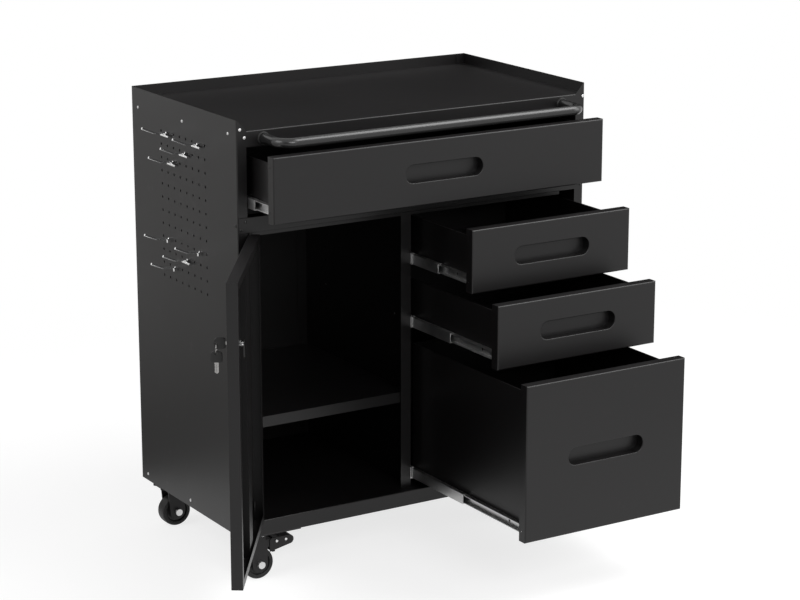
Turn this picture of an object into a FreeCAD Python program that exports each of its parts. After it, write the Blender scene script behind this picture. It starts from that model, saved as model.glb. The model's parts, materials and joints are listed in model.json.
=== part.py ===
# A rolling tool cabinet: a folded steel body on four swivel casters, with a wide drawer on top,
# a hinged door at the lower left with a shelf behind it, and three drawers beside the door.
# Millimetres. The origin is on the floor, under the middle of the cabinet's footprint.
# +Z is up and the front faces -Y. Rest is the cabinet as it stands open: door swung back, drawers out.

import FreeCAD, Part
import math
import os

import Sketcher
from FreeCAD import Placement, Rotation, Vector

document = FreeCAD.newDocument("rolling_cabinet")
sheet = document.addObject("Spreadsheet::Sheet", "Sizes")
pieces = {}


# Sizes: a number together with the sheet cell, or the sum of cells, that it comes from

def written(value):
    """Give a value as it stands in an expression."""
    return value.text if isinstance(value, Size) else "%.9g" % value


def joined(first, sign, second, number):
    """Give the size that two values make with one arithmetic sign."""
    return Size(number, "(%s %s %s)" % (written(first), sign, written(second)))


class Size:
    """A length that keeps its number and its expression in the sheet of sizes."""

    def __init__(self, number, text):
        self.number = float(number)
        self.text = text

    def __float__(self):
        return self.number

    def __add__(self, other):
        return joined(self, "+", other, self.number + float(other))

    def __radd__(self, other):
        return joined(other, "+", self, float(other) + self.number)

    def __sub__(self, other):
        return joined(self, "-", other, self.number - float(other))

    def __rsub__(self, other):
        return joined(other, "-", self, float(other) - self.number)

    def __mul__(self, factor):
        return joined(self, "*", factor, self.number * float(factor))

    def __rmul__(self, factor):
        return joined(factor, "*", self, float(factor) * self.number)

    def __truediv__(self, divisor):
        return joined(self, "/", divisor, self.number / float(divisor))

    def __neg__(self):
        return joined(0, "-", self, -self.number)


def size(name, number, meaning):
    """Write one driving dimension into the sheet and give it back as a size."""
    size.row += 1
    sheet.set("A%d" % size.row, meaning)
    sheet.set("B%d" % size.row, str(number))
    sheet.setAlias("B%d" % size.row, name)
    sheet.recompute()
    return Size(sheet.get(name), "Sizes." + name)


size.row = 0

# Cabinet
cabinet_width = size("cabinet_width", 760, "over the side panels")
cabinet_depth = size("cabinet_depth", 425, "front flanges to rear flanges")
panel_height = size("panel_height", 788, "height of the side panels")
floor_clearance = size("floor_clearance", 96, "floor to the lower edge of the panels")
skin = size("skin", 1.2, "sheet of the cabinet")
flange_width = size("flange_width", 20, "width of the side panels' front and rear flanges")
flange_return = size("flange_return", 40, "depth of the returns that carry the slides")
bend_radius = size("bend_radius", 2, "outer radius of the long front bends")
back_margin = size("back_margin", 0.5, "back panel's edge to the side panels' outer faces")
edge_upstand = size("edge_upstand", 21, "side and back panels above the worktop")
wing_flange = size("wing_flange", 26, "folded edge that the lower side screws go through")
wing_drop = size("wing_drop", 42, "folded edge that the upper side screws go through")

# Tool-hook holes in the left side
hook_pitch = size("hook_pitch", 25.4, "one inch hole pitch")
hook_hole_radius = size("hook_hole_radius", 2.5, "radius of a hook hole")
hook_columns = size("hook_columns", 8, "holes in a row")
hook_rows = size("hook_rows", 12, "rows of holes")
hook_top_inset = size("hook_top_inset", 66.3, "top row of holes below the panels' upper edge")

# Rails, worktop and base
header_height = size("header_height", 30.7, "front edge of the worktop")
header_return = size("header_return", 22, "return under the header")
rail_height = size("rail_height", 29.2, "face height of the middle rail")
rail_return = size("rail_return", 22, "depth of the middle rail's returns")
rail_lip = size("rail_lip", 12.3, "stop lip below the middle rail's lower return")
rail_lip_inset = size("rail_lip_inset", 20, "end of the stop lip to the side panel's flange")
rail_tab_margin = size("rail_tab_margin", 2, "end of the rail's tab to the cabinet's side")
base_height = size("base_height", 30, "height of the bottom rail")
base_return = size("base_return", 20, "inward return under the base")

# Screws of the panels, each counted from the nearest edge
upper_screw_rear = size("upper_screw_rear", 27, "rear upper side screw from the back")
upper_screw_rear_drop = size("upper_screw_rear_drop", 37, "rear upper side screw below the top edge")
upper_screw_middle_drop = size("upper_screw_middle_drop", 34.6, "middle upper side screw below the top edge")
upper_screw_front = size("upper_screw_front", 31.7, "front upper side screw from the front")
upper_screw_front_drop = size("upper_screw_front_drop", 28.2, "front upper side screw below the top edge")
lower_screw_rear = size("lower_screw_rear", 27.8, "rear lower side screw from the back")
lower_screw_drop = size("lower_screw_drop", 16, "lower side screws below the base's top")
left_screw_one = size("left_screw_one", 6.9, "upper left flange screw from the side")
left_screw_one_drop = size("left_screw_one_drop", 17.3, "upper left flange screw below the top edge")
left_screw_two = size("left_screw_two", 15.9, "lower left flange screw from the side")
left_screw_two_drop = size("left_screw_two_drop", 32.6, "lower left flange screw below the top edge")
right_screw = size("right_screw", 4.5, "right flange screw from the side")
right_screw_drop = size("right_screw_drop", 25.5, "right flange screw below the top edge")
tab_screw_outer = size("tab_screw_outer", 5.8, "rail's outer screw from the side")
tab_screw_outer_rise = size("tab_screw_outer_rise", 7.7, "rail's outer screw above the rail's lower edge")
tab_screw_inner = size("tab_screw_inner", 16.2, "rail's inner screw from the side")
tab_screw_inner_rise = size("tab_screw_inner_rise", 21.1, "rail's inner screw above the rail's lower edge")
rail_screw_setback = size("rail_screw_setback", 8.3, "rail's side screw behind the front")
rail_screw_rise = size("rail_screw_rise", 13.2, "rail's side screw above the rail's lower edge")

# Centre divider and shelf
divider_flange = size("divider_flange", 22.2, "width of the divider's front and rear flanges")
divider_setback = size("divider_setback", 23.2, "divider's front behind the cabinet's front")
shelf_hole_pitch = size("shelf_hole_pitch", 25.4, "pitch of the shelf holes")
shelf_hole_count = size("shelf_hole_count", 11, "shelf holes in a column")
shelf_hole_first = size("shelf_hole_first", 210, "lowest shelf hole above the panels' lower edge")
shelf_hole_radius = size("shelf_hole_radius", 2.5, "radius of a shelf hole")
divider_hole_place = size("divider_hole_place", 132, "shelf hole columns of the divider from mid depth")
panel_hole_place = size("panel_hole_place", 180, "shelf hole columns of the side from mid depth")
shelf_setback = size("shelf_setback", 27.5, "shelf's front behind the cabinet's front")
shelf_lip = size("shelf_lip", 20.5, "height of the shelf's front lip")
shelf_sheet = size("shelf_sheet", 1, "sheet of the shelf")
shelf_return = size("shelf_return", 10, "return under the shelf's lips")
shelf_gap = size("shelf_gap", 0.4, "play at each end of the shelf")
clip_ledge = size("clip_ledge", 2, "thickness of a shelf clip's ledge")
clip_reach = size("clip_reach", 11, "how far a clip's ledge stands out")
clip_width = size("clip_width", 7, "width of a shelf clip, which hangs behind the shelf's lip")
clip_drop = size("clip_drop", 10.4, "shelf's underside above its clip's hole")

# Push handle
handle_radius = size("handle_radius", 9.5, "radius of the handle's tube")
handle_inset = size("handle_inset", 54, "handle's legs from the cabinet's sides")
handle_reach = size("handle_reach", 70, "tube's middle in front of the header")
handle_bend = size("handle_bend", 26, "radius of the handle's bends")
collar_radius = size("collar_radius", 12.5, "radius of the rings at the handle's legs")
collar_length = size("collar_length", 4, "length of the rings at the handle's legs")
handle_screw_radius = size("handle_screw_radius", 3, "radius of the handle's screws")
handle_screw_length = size("handle_screw_length", 18, "length of the handle's screws")
handle_screw_head = size("handle_screw_head", 6, "radius of the handle screws' heads")
screw_head_radius = size("screw_head_radius", 2.8, "radius of the small screws' heads")
screw_head_height = size("screw_head_height", 1.6, "height of the small screws' heads")
screw_radius = size("screw_radius", 1.5, "radius of the small screws' shanks")
screw_length = size("screw_length", 5, "length of the small screws' shanks")
screw_chamfer = size("screw_chamfer", 0.7, "slope round the small screws' heads")
screw_play = size("screw_play", 0.1, "screw shank to its hole, on the radius")

# Drawers
drawer_gap = size("drawer_gap", 2.6, "drawer front to the flanges beside it")
front_depth = size("front_depth", 20, "depth of a drawer's front pan")
front_sheet = size("front_sheet", 1, "sheet of a drawer's front pan")
front_edge_radius = size("front_edge_radius", 2.5, "rounding of the front pans and the door")
front_header_gap = size("front_header_gap", 2.4, "top drawer's front below the header")
top_front_height = size("top_front_height", 120.8, "height of the top drawer's front")
front_rail_gap = size("front_rail_gap", 3.1, "top drawer's front above the middle rail")
upper_front_gap = size("upper_front_gap", 3.5, "upper drawer's front below the middle rail")
upper_front_height = size("upper_front_height", 119.2, "height of the upper drawer's front")
middle_front_gap = size("middle_front_gap", 3.6, "middle drawer's front below the upper one")
middle_front_height = size("middle_front_height", 120.1, "height of the middle drawer's front")
lower_front_gap = size("lower_front_gap", 6.2, "lower drawer's front below the middle one")
front_base_gap = size("front_base_gap", 2.4, "lower drawer's front above the base")
front_hole_radius = size("front_hole_radius", 1.3, "radius of the small holes in a front pan's ends")
front_hole_setback = size("front_hole_setback", 12.7, "small holes behind the front's face")
front_hole_inset = size("front_hole_inset", 19.5, "small holes from the front's upper and lower edges")
top_pull = size("top_pull", 94, "how far the top drawer is out at rest")
upper_pull = size("upper_pull", 183.2, "how far the upper drawer is out at rest")
middle_pull = size("middle_pull", 268.9, "how far the middle drawer is out at rest")
lower_pull = size("lower_pull", 363.2, "how far the lower drawer is out at rest")
recess_width = size("recess_width", 168, "width of a pull recess")
recess_height = size("recess_height", 34, "height of a pull recess")
recess_depth = size("recess_depth", 18, "depth of a pull recess")
recess_rim = size("recess_rim", 2.8, "formed rim round the recess's mouth, behind the face")
recess_rounding = size("recess_rounding", 1.6, "rounding of the recess's mouth")
tray_sheet = size("tray_sheet", 1, "sheet of a drawer's tray")
tray_above_edge = size("tray_above_edge", 14, "tray's floor above the front's lower edge")
tray_below_top = size("tray_below_top", 16, "tray's rim below the front's upper edge")
tray_rear_space = size("tray_rear_space", 25, "closed tray's end to the cabinet's back")
tray_hem_width = size("tray_hem_width", 2.5, "width of the hem round a tray's rim")
tray_hem_height = size("tray_hem_height", 6, "height of the hem round a tray's rim")

# Ball slides
slide_space = size("slide_space", 13, "mounting face to the tray's side")
slide_rear_space = size("slide_rear_space", 16.5, "slide's end to the cabinet's back")
slide_setback = size("slide_setback", 23.5, "slide's front behind the cabinet's front")
slide_height = size("slide_height", 22.5, "height of the outer member")
slide_step = size("slide_step", 1.6, "each inner member is lower by twice this")
slide_level = size("slide_level", 23.5, "slide's middle above the front's lower edge")
slide_outer_reach = size("slide_outer_reach", 8.5, "outer member's lips from the mounting face")
slide_middle_start = size("slide_middle_start", 2.2, "middle member's web from the mounting face")
slide_middle_reach = size("slide_middle_reach", 10.5, "middle member's lips from the mounting face")
slide_inner_start = size("slide_inner_start", 4.2, "inner member's lips from the mounting face")
slide_hole_place = size("slide_hole_place", 41, "release hole behind the inner member's end")
slide_hole_radius = size("slide_hole_radius", 3, "radius of the release hole")

# Door
door_base_gap = size("door_base_gap", 3, "door's lower edge above the base")
door_rail_gap = size("door_rail_gap", 3.8, "door's upper edge below the middle rail")
door_depth = size("door_depth", 20.5, "depth of the door's pan")
door_divider_gap = size("door_divider_gap", 1.3, "door's free edge to the divider's drawer side")
door_edge_gap = size("door_edge_gap", 3.5, "door to the side panel's flange when closed")
door_sheet = size("door_sheet", 1, "sheet of the door")
door_flange = size("door_flange", 14, "inward flange round the door's inner side")
pivot_inset = size("pivot_inset", 3, "hinge axis from the door's edge and outer face")
door_open_angle = size("door_open_angle", 124.5, "degrees that the door stands open at rest")
pin_radius = size("pin_radius", 1.6, "radius of the hinge pins")
pin_rise = size("pin_rise", 36, "hinge pin inside the door")
pin_collar_radius = size("pin_collar_radius", 2.5, "radius of a hinge pin's collar")
pin_collar_play = size("pin_collar_play", 0.4, "collar to the door")
running_play = size("running_play", 0.05, "running fit, on the radius")
fixed_play = size("fixed_play", 0.1, "bolt, axle or lock to the hole that it is fixed in, on the radius")
stiffener_width = size("stiffener_width", 46, "width of the door's upright stiffener")
stiffener_depth = size("stiffener_depth", 15, "depth of the door's upright stiffener")
stiffener_flange = size("stiffener_flange", 12, "side flanges of the stiffener")

# Lock and keys
lock_inset = size("lock_inset", 28, "lock's axis from the door's free edge")
lock_drop = size("lock_drop", 111, "lock's axis below the door's upper edge")
lock_radius = size("lock_radius", 9, "radius of the lock's housing")
lock_flange_radius = size("lock_flange_radius", 11.5, "radius of the housing's outer flange")
lock_flange = size("lock_flange", 2.2, "thickness of the housing's outer flange")
lock_core_radius = size("lock_core_radius", 5, "radius of the turning core")
lock_nut_width = size("lock_nut_width", 25, "across the flats of the housing's nut")
lock_nut_height = size("lock_nut_height", 3.5, "thickness of the housing's nut")
cam_length = size("cam_length", 23, "cam's tip from the lock's axis")
cam_width = size("cam_width", 9, "width of the cam")
cam_sheet = size("cam_sheet", 2, "thickness of the cam")
cam_eye_radius = size("cam_eye_radius", 6, "radius of the cam's round end")
cam_play = size("cam_play", 1, "cam behind the divider's flange when closed")
key_sheet = size("key_sheet", 2, "thickness of a key's blade")
key_blade_width = size("key_blade_width", 6, "width of a key's blade")
key_blade_length = size("key_blade_length", 20, "length of a key's blade")
key_head_radius = size("key_head_radius", 10, "radius of a key's head")
key_head_sheet = size("key_head_sheet", 4.4, "thickness of a key's head")
key_neck = size("key_neck", 3, "key's head in front of the lock")
key_hole_radius = size("key_hole_radius", 2.4, "radius of the hole in a key's head")
key_hole_edge = size("key_hole_edge", 4.2, "hole's middle from the edge of a key's head")
ring_radius = size("ring_radius", 8, "middle radius of the key ring")
ring_wire = size("ring_wire", 0.8, "radius of the key ring's wire")
ring_play = size("ring_play", 0.6, "key ring to the rims of the keys' holes")

# Casters
caster_side_inset = size("caster_side_inset", 33, "swivel axis from the cabinet's side")
caster_depth_inset = size("caster_depth_inset", 40.8, "swivel axis from the cabinet's front or back")
caster_trail = size("caster_trail", 15, "wheel's axle behind the swivel axis")
wheel_radius = size("wheel_radius", 30.5, "radius of a caster's wheel")
wheel_width = size("wheel_width", 25, "width of a caster's tread")
wheel_crown = size("wheel_crown", 2.5, "rounding of the tread's edges")
hub_width = size("hub_width", 28.2, "width of the wheel's hub")
hub_radius = size("hub_radius", 9, "radius of the wheel's hub")
wheel_dish = size("wheel_dish", 5, "depth of the dish in the wheel's side")
wheel_rim = size("wheel_rim", 7, "height of the tread over the dish")
axle_radius = size("axle_radius", 4, "radius of a wheel's axle")
axle_head_radius = size("axle_head_radius", 7, "radius of the axle's heads")
axle_head = size("axle_head", 7.5, "height of the axle's heads")
fork_inside = size("fork_inside", 29, "between the fork's cheeks")
fork_sheet = size("fork_sheet", 2.5, "sheet of the fork")
fork_lead = size("fork_lead", 21, "fork's crown ahead of the swivel axis")
fork_tail = size("fork_tail", 27, "fork's crown behind the swivel axis")
cheek_radius = size("cheek_radius", 16, "half width of the cheeks at the axle")
cheek_neck = size("cheek_neck", 5, "cheek's leading edge under the crown, ahead of the swivel axis")
crown_edge = size("crown_edge", 5, "depth of the crown's leading edge")
cheek_shoulder = size("cheek_shoulder", 12, "start of the cheek's trailing slope below the crown's top")
cheek_slope = size("cheek_slope", 8, "fall of the cheek's trailing slope")
support_sheet = size("support_sheet", 2, "doubling plate under the base")
support_length = size("support_length", 118, "doubling plate across")
support_depth = size("support_depth", 84, "doubling plate front to back")
support_margin = size("support_margin", 2, "doubling plate inside the front and the back")
support_side_margin = size("support_side_margin", 6, "doubling plate inside the sides")
plate_width = size("plate_width", 46, "caster's plate across")
plate_depth = size("plate_depth", 60, "caster's plate front to back")
plate_sheet = size("plate_sheet", 2.5, "thickness of the caster's plate")
race_radius = size("race_radius", 21, "radius of the swivel race")
race_height = size("race_height", 4.3, "height of the swivel race")
swivel_gap = size("swivel_gap", 0.3, "swivel race to the fork's crown")
kingpin_radius = size("kingpin_radius", 4, "radius of the kingpin")
kingpin_head_radius = size("kingpin_head_radius", 7.5, "radius of the kingpin's head")
kingpin_head = size("kingpin_head", 2.3, "height of the kingpin's head")
bolt_span = size("bolt_span", 32, "caster bolts across, middle to middle")
bolt_reach = size("bolt_reach", 46, "caster bolts front to back, middle to middle")
bolt_head_width = size("bolt_head_width", 8, "across the flats of a caster bolt's head")
bolt_head = size("bolt_head", 3, "height of a caster bolt's head")
bolt_radius = size("bolt_radius", 2.5, "radius of a caster bolt's shank")
pedal_pivot_reach = size("pedal_pivot_reach", 49.5, "pedal's pivot from the swivel axis")
pedal_pivot_level = size("pedal_pivot_level", 71.2, "pedal's pivot above the floor")
pedal_reach = size("pedal_reach", 86, "pedal's tip from the swivel axis")
pedal_tip_radius = size("pedal_tip_radius", 8.8, "radius of the pedal's round tip")
pedal_tip_drop = size("pedal_tip_drop", 1.9, "middle of the pedal's tip below its pivot")
pedal_heel_reach = size("pedal_heel_reach", 14.5, "pedal's heel ahead of its pivot")
pedal_heel_drop = size("pedal_heel_drop", 19.2, "pedal's heel below its pivot")
pedal_heel_rise = size("pedal_heel_rise", 4, "upper end of the heel's edge below the pedal's top")
pedal_tread_start = size("pedal_tread_start", 8, "pedal's tread from its pivot")
pedal_sheet = size("pedal_sheet", 1.5, "sheet of the pedal")
pedal_gap = size("pedal_gap", 0.3, "pedal to the fork's arms")
pedal_pin_radius = size("pedal_pin_radius", 2, "radius of the pedal's pin")
pin_head_radius = size("pin_head_radius", 3, "radius of the pedal pin's heads")
pin_head = size("pin_head", 1.2, "height of the pedal pin's heads")
shoe_reach = size("shoe_reach", 9.3, "brake shoe's edge ahead of the pedal's pivot")
shoe_drop = size("shoe_drop", 20.4, "brake shoe's edge below the pedal's pivot")
shoe_side = size("shoe_side", 6, "side of the brake shoe's bar")
arm_radius = size("arm_radius", 6, "rounded end of the fork's arms")
arm_root = size("arm_root", 31, "lower edge of a fork's arm above the axle")

# Tool hooks
hook_wire = size("hook_wire", 2.2, "radius of the hooks' wire")
hook_stand = size("hook_stand", 4.5, "hook's cross in front of the panel")
hook_reach = size("hook_reach", 52, "prong's tip from the panel")
hook_rise = size("hook_rise", 13, "prong's tip above its hole")
hook_bend_place = size("hook_bend_place", 27, "prong's bend from the panel")
hook_cross = size("hook_cross", 32, "length of the hook's cross bar")
hook_cross_drop = size("hook_cross_drop", 6, "cross bar below the hook's hole")
hook_tail = size("hook_tail", 9, "hook's tail behind the panel")
hook_bend = size("hook_bend", 3.2, "middle radius of the hooks' tight bends")
prong_bend = size("prong_bend", 9.6, "middle radius of the bend in a hook's prong")
prong_start_rise = size("prong_start_rise", 1.6, "prong's bend above its hole")
hook_foot = size("hook_foot", 1.3, "end of a hook's upright below its cross bar")
hook_group_rows = size("hook_group_rows", 8, "rows between the two groups of hooks")

# Places worked out from the sizes
half_width = cabinet_width / 2
half_depth = cabinet_depth / 2
front_face = -half_depth
back_face = half_depth
panel_top = floor_clearance + panel_height
worktop_level = panel_top - edge_upstand
mount_face = half_width - flange_width
header_bottom = worktop_level - header_height
base_top = floor_clearance + base_height
top_front_low = header_bottom - front_header_gap - top_front_height
rail_high = top_front_low - front_rail_gap
rail_low = rail_high - rail_height
upper_front_low = rail_low - upper_front_gap - upper_front_height
middle_front_low = upper_front_low - middle_front_gap - middle_front_height
lower_front_low = base_top + front_base_gap
lower_front_height = middle_front_low - lower_front_gap - lower_front_low
handle_level = header_bottom + header_height / 2
handle_half = half_width - handle_inset
hook_top_row = panel_top - hook_top_inset
divider_front = front_face + divider_setback
sheet_front = back_face - skin
flange_front = sheet_front - skin
tray_length = cabinet_depth - front_depth - tray_rear_space
slide_length = cabinet_depth - slide_setback - slide_rear_space
caster_side_place = half_width - caster_side_inset
caster_depth_place = half_depth - caster_depth_inset
nothing = skin * 0
door_left = -mount_face + door_edge_gap
door_right = -door_divider_gap
door_low = base_top + door_base_gap
door_high = rail_low - door_rail_gap
pivot_x = door_left + pivot_inset
pivot_y = front_face + pivot_inset
shelf_top = floor_clearance + shelf_hole_first + clip_drop + shelf_sheet
hole_rows_height = hook_pitch * (hook_rows - 1)
hole_rows_width = hook_pitch * (hook_columns - 1)


# Building blocks: bodies, sketches with every point tied to the sheet, pads and pockets

def new_body(label):
    """Start one piece of the cabinet."""
    body = document.addObject("PartDesign::Body", label)
    body.Label = label
    pieces[label] = body
    return body


def tie(thing, name, value):
    """Bind one property to its expression when it comes from the sheet."""
    if isinstance(value, Size):
        thing.setExpression(name, value.text)


def new_sketch(body, role, offset):
    """Start a sketch parallel to one of the body's origin planes."""
    sketch = body.newObject("Sketcher::SketchObject", "sketch")
    plane = [feature for feature in body.Origin.OriginFeatures if feature.Role == role][0]
    sketch.AttachmentSupport = [(plane, "")]
    sketch.MapMode = "FlatFace"
    sketch.AttachmentOffset = Placement(Vector(0, 0, float(offset)), Rotation())
    tie(sketch, "AttachmentOffset.Base.z", offset)
    return sketch


def pin_one_way(sketch, kind, item, spot, value):
    """Hold one point of a sketch at one distance from the sketch's origin."""
    place = sketch.addConstraint(Sketcher.Constraint(kind, -1, 1, item, spot, float(value)))
    tie(sketch, "Constraints[%d]" % place, value)


def pin_point(sketch, item, spot, across, up):
    """Hold one point of a sketch at two distances from the sketch's origin."""
    pin_one_way(sketch, "DistanceX", item, spot, across)
    pin_one_way(sketch, "DistanceY", item, spot, up)


def set_radius(sketch, item, radius):
    """Give an arc or a circle of a sketch its radius."""
    place = sketch.addConstraint(Sketcher.Constraint("Radius", item, float(radius)))
    tie(sketch, "Constraints[%d]" % place, radius)


def polygon(sketch, points):
    """Draw a closed outline through the points."""
    spots = [Vector(float(across), float(up), 0) for across, up in points]
    first = sketch.GeometryCount
    count = len(spots)
    for index in range(count):
        sketch.addGeometry(Part.LineSegment(spots[index], spots[(index + 1) % count]))
    for index in range(count):
        sketch.addConstraint(Sketcher.Constraint("Coincident", first + index, 2,
                                                 first + (index + 1) % count, 1))
    for index, (across, up) in enumerate(points):
        pin_point(sketch, first + index, 1, across, up)


def rectangle(sketch, left, right, low, high):
    """Draw a rectangle between four lines."""
    polygon(sketch, [(left, low), (right, low), (right, high), (left, high)])


def frame_outline(sketch, left, right, low, high, border):
    """Draw a rectangle with a smaller one inside it."""
    rectangle(sketch, left, right, low, high)
    rectangle(sketch, left + border, right - border, low + border, high - border)


def circles(sketch, places, radius):
    """Draw equal circles at several places."""
    for across, up in places:
        spot = Vector(float(across), float(up), 0)
        item = sketch.addGeometry(Part.Circle(spot, Vector(0, 0, 1), float(radius)))
        pin_point(sketch, item, 3, across, up)
        set_radius(sketch, item, radius)


def obround(sketch, middle, level, length, height):
    """Draw a slot with round ends, its length lying across."""
    radius = height / 2
    ends = []
    for side in (-1, 1):
        across = middle + (length / 2 - radius) * side
        turn = math.radians(90 if side < 0 else -90)
        circle = Part.Circle(Vector(float(across), float(level), 0), Vector(0, 0, 1), float(radius))
        item = sketch.addGeometry(Part.ArcOfCircle(circle, turn, turn + math.pi))
        pin_point(sketch, item, 3, across, level)
        set_radius(sketch, item, radius)
        for spot in (1, 2):
            pin_one_way(sketch, "DistanceX", item, spot, across)
        ends.append(item)
    left, right = ends
    for first, last in ((left, 2), (right, 2)):
        other = right if first == left else left
        start = sketch.getPoint(first, last)
        end = sketch.getPoint(other, 1)
        line = sketch.addGeometry(Part.LineSegment(start, end))
        sketch.addConstraint(Sketcher.Constraint("Coincident", line, 1, first, last))
        sketch.addConstraint(Sketcher.Constraint("Coincident", line, 2, other, 1))


def pad(body, role, low, high, draw, *values):
    """Raise a drawing from low to high along the axis that its plane faces."""
    sketch = new_sketch(body, role, -high if role == "XZ_Plane" else low)
    draw(sketch, *values)
    feature = body.newObject("PartDesign::Pad", "pad")
    feature.Profile = sketch
    feature.Length = float(high - low)
    tie(feature, "Length", high - low)
    sketch.Visibility = False
    return feature


def pocket(body, role, low, high, draw, *values):
    """Cut a drawing away from low to high along the axis that its plane faces."""
    sketch = new_sketch(body, role, -low if role == "XZ_Plane" else high)
    draw(sketch, *values)
    feature = body.newObject("PartDesign::Pocket", "pocket")
    feature.Profile = sketch
    feature.Length = float(high - low)
    tie(feature, "Length", high - low)
    sketch.Visibility = False
    return feature


def edges_where(shape, test):
    """Name the edges of a shape whose middle passes the test."""
    names = []
    for index, edge in enumerate(shape.Edges):
        first, last = edge.ParameterRange
        if test(edge.valueAt((first + last) / 2), edge):
            names.append("Edge%d" % (index + 1))
    return names


def round_edges(body, radius, test):
    """Round the edges of the body's last feature that pass the test."""
    document.recompute()
    base = body.Tip
    feature = body.newObject("PartDesign::Fillet", "fillet")
    feature.Base = (base, edges_where(base.Shape, test))
    feature.Radius = float(radius)
    tie(feature, "Radius", radius)
    return feature


def repeat(body, feature, steps):
    """Repeat a pocket along one or two axes: each step is an axis role, a pitch and a count."""
    rows = []
    holder = body.newObject("PartDesign::MultiTransform", "grid")
    holder.Originals = [feature]
    for role, pitch, count in steps:
        axis = [item for item in body.Origin.OriginFeatures if item.Role == role][0]
        row = body.newObject("PartDesign::LinearPattern", "row")
        row.Direction = (axis, [""])
        row.Length = float(pitch * (count - 1))
        row.Occurrences = int(round(float(count)))
        tie(row, "Length", pitch * (count - 1))
        tie(row, "Occurrences", count)
        rows.append(row)
    holder.Transformations = rows
    body.Tip = holder
    return holder


def finished(label, shape):
    """Keep a shape made with the shape functions as one piece."""
    piece = document.addObject("Part::Feature", label)
    piece.Label = label
    piece.Shape = shape
    pieces[label] = piece
    return piece


def at(x, y, z):
    """Give a point from sizes."""
    return Vector(float(x), float(y), float(z))


def block(low, high):
    """Give a box between two corners."""
    corner = at(*low)
    span = at(*high) - corner
    return Part.makeBox(span.x, span.y, span.z, corner)


def rod(radius, start, end):
    """Give a cylinder between two points."""
    begin = at(*start)
    line = at(*end) - begin
    return Part.makeCylinder(float(radius), line.Length, begin, line)


def hexagon(flats, start, end):
    """Give a hexagonal bar between two points, by its width across the flats."""
    begin = at(*start)
    line = at(*end) - begin
    corner = float(flats) / math.sqrt(3)
    turn = Rotation(Vector(0, 0, 1), line)
    corners = []
    for index in range(7):
        angle = math.radians(60 * index)
        spoke = Vector(corner * math.cos(angle), corner * math.sin(angle), 0)
        corners.append(begin + turn.multVec(spoke))
    return Part.Face(Part.makePolygon(corners)).extrude(line)


# Screw places, shared by the screws and the holes that they pass through
side_screws_top = [(half_depth - upper_screw_rear, panel_top - upper_screw_rear_drop),
                   (nothing, panel_top - upper_screw_middle_drop),
                   (front_face + upper_screw_front, panel_top - upper_screw_front_drop)]
side_screws_low = [(half_depth - lower_screw_rear, base_top - lower_screw_drop),
                   (nothing, base_top - lower_screw_drop)]
flange_screws_left = [(-half_width + left_screw_one, panel_top - left_screw_one_drop),
                      (-half_width + left_screw_two, panel_top - left_screw_two_drop)]
flange_screws_right = [(half_width - right_screw, panel_top - right_screw_drop)]
tab_screws = [(half_width - tab_screw_outer, rail_low + tab_screw_outer_rise),
              (half_width - tab_screw_inner, rail_low + tab_screw_inner_rise)]
side_screw_rail = (front_face + rail_screw_setback, rail_low + rail_screw_rise)
screw_hole = screw_radius + screw_play


def side_outline(side):
    """Give the plan of a side panel: web, two flanges and their returns into the cabinet."""
    outer = half_width * side
    web = (half_width - skin) * side
    inner = mount_face * side
    inner_back = (mount_face + skin) * side
    front_return = front_face + flange_return
    rear_return = back_face - flange_return
    return [(outer, front_face), (inner, front_face), (inner, front_return), (inner_back, front_return),
            (inner_back, front_face + skin), (web, front_face + skin), (web, flange_front),
            (inner_back, flange_front), (inner_back, rear_return), (inner, rear_return),
            (inner, sheet_front), (outer, sheet_front)]


def drill_side(body, side, places):
    """Drill screw holes through what lies against one side panel's web, and through the web."""
    near = half_width - skin * 3
    far = half_width + skin
    low, high = (-far, -near) if side < 0 else (near, far)
    pocket(body, "YZ_Plane", low, high, circles, places, screw_hole)


def side_panel(label, side, flange_screws):
    """Fold one side panel, trim its front flange's top and drill it."""
    body = new_body(label)
    pad(body, "XY_Plane", floor_clearance, panel_top, polygon, side_outline(side))
    outer = float(half_width) * side

    def long_front_bend(spot, edge):
        on_corner = abs(spot.x - outer) < 0.01 and abs(spot.y - float(front_face)) < 0.01
        return on_corner and edge.Length > float(panel_height) / 2

    round_edges(body, bend_radius, long_front_bend)
    web = (half_width - skin) * side
    inner = mount_face * side
    beyond = (mount_face - skin) * side
    above = panel_top + skin
    slope = [(web, panel_top), (inner, worktop_level), (beyond, worktop_level), (beyond, above), (web, above)]
    pocket(body, "XZ_Plane", front_face - skin, front_face + skin, polygon, slope)
    past = (mount_face + skin * 2) * side
    above_wing = [(beyond, front_face + skin), (past, front_face + skin), (past, flange_front),
                  (beyond, flange_front)]
    pocket(body, "XY_Plane", worktop_level - skin, above, polygon, above_wing)
    drill_side(body, side, side_screws_top + side_screws_low + [side_screw_rail])
    tabs = [(across * side, level) for across, level in tab_screws]
    pocket(body, "XZ_Plane", front_face - skin, front_face + skin * 2, circles,
           flange_screws + tabs, screw_hole)
    return body


left_panel = side_panel("left_side_panel", -1, flange_screws_left)
first_hole = pocket(left_panel, "YZ_Plane", -half_width - skin, -half_width + skin * 2, circles,
                    [(-hole_rows_width / 2, hook_top_row - hole_rows_height)],
                    hook_hole_radius)
repeat(left_panel, first_hole, [("Y_Axis", hook_pitch, hook_columns), ("Z_Axis", hook_pitch, hook_rows)])
shelf_holes_left = pocket(left_panel, "YZ_Plane", -mount_face - skin * 2, -mount_face + skin, circles,
                          [(-panel_hole_place, floor_clearance + shelf_hole_first),
                           (panel_hole_place, floor_clearance + shelf_hole_first)], shelf_hole_radius)
repeat(left_panel, shelf_holes_left, [("Z_Axis", shelf_hole_pitch, shelf_hole_count)])
side_panel("right_side_panel", 1, flange_screws_right)


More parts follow.
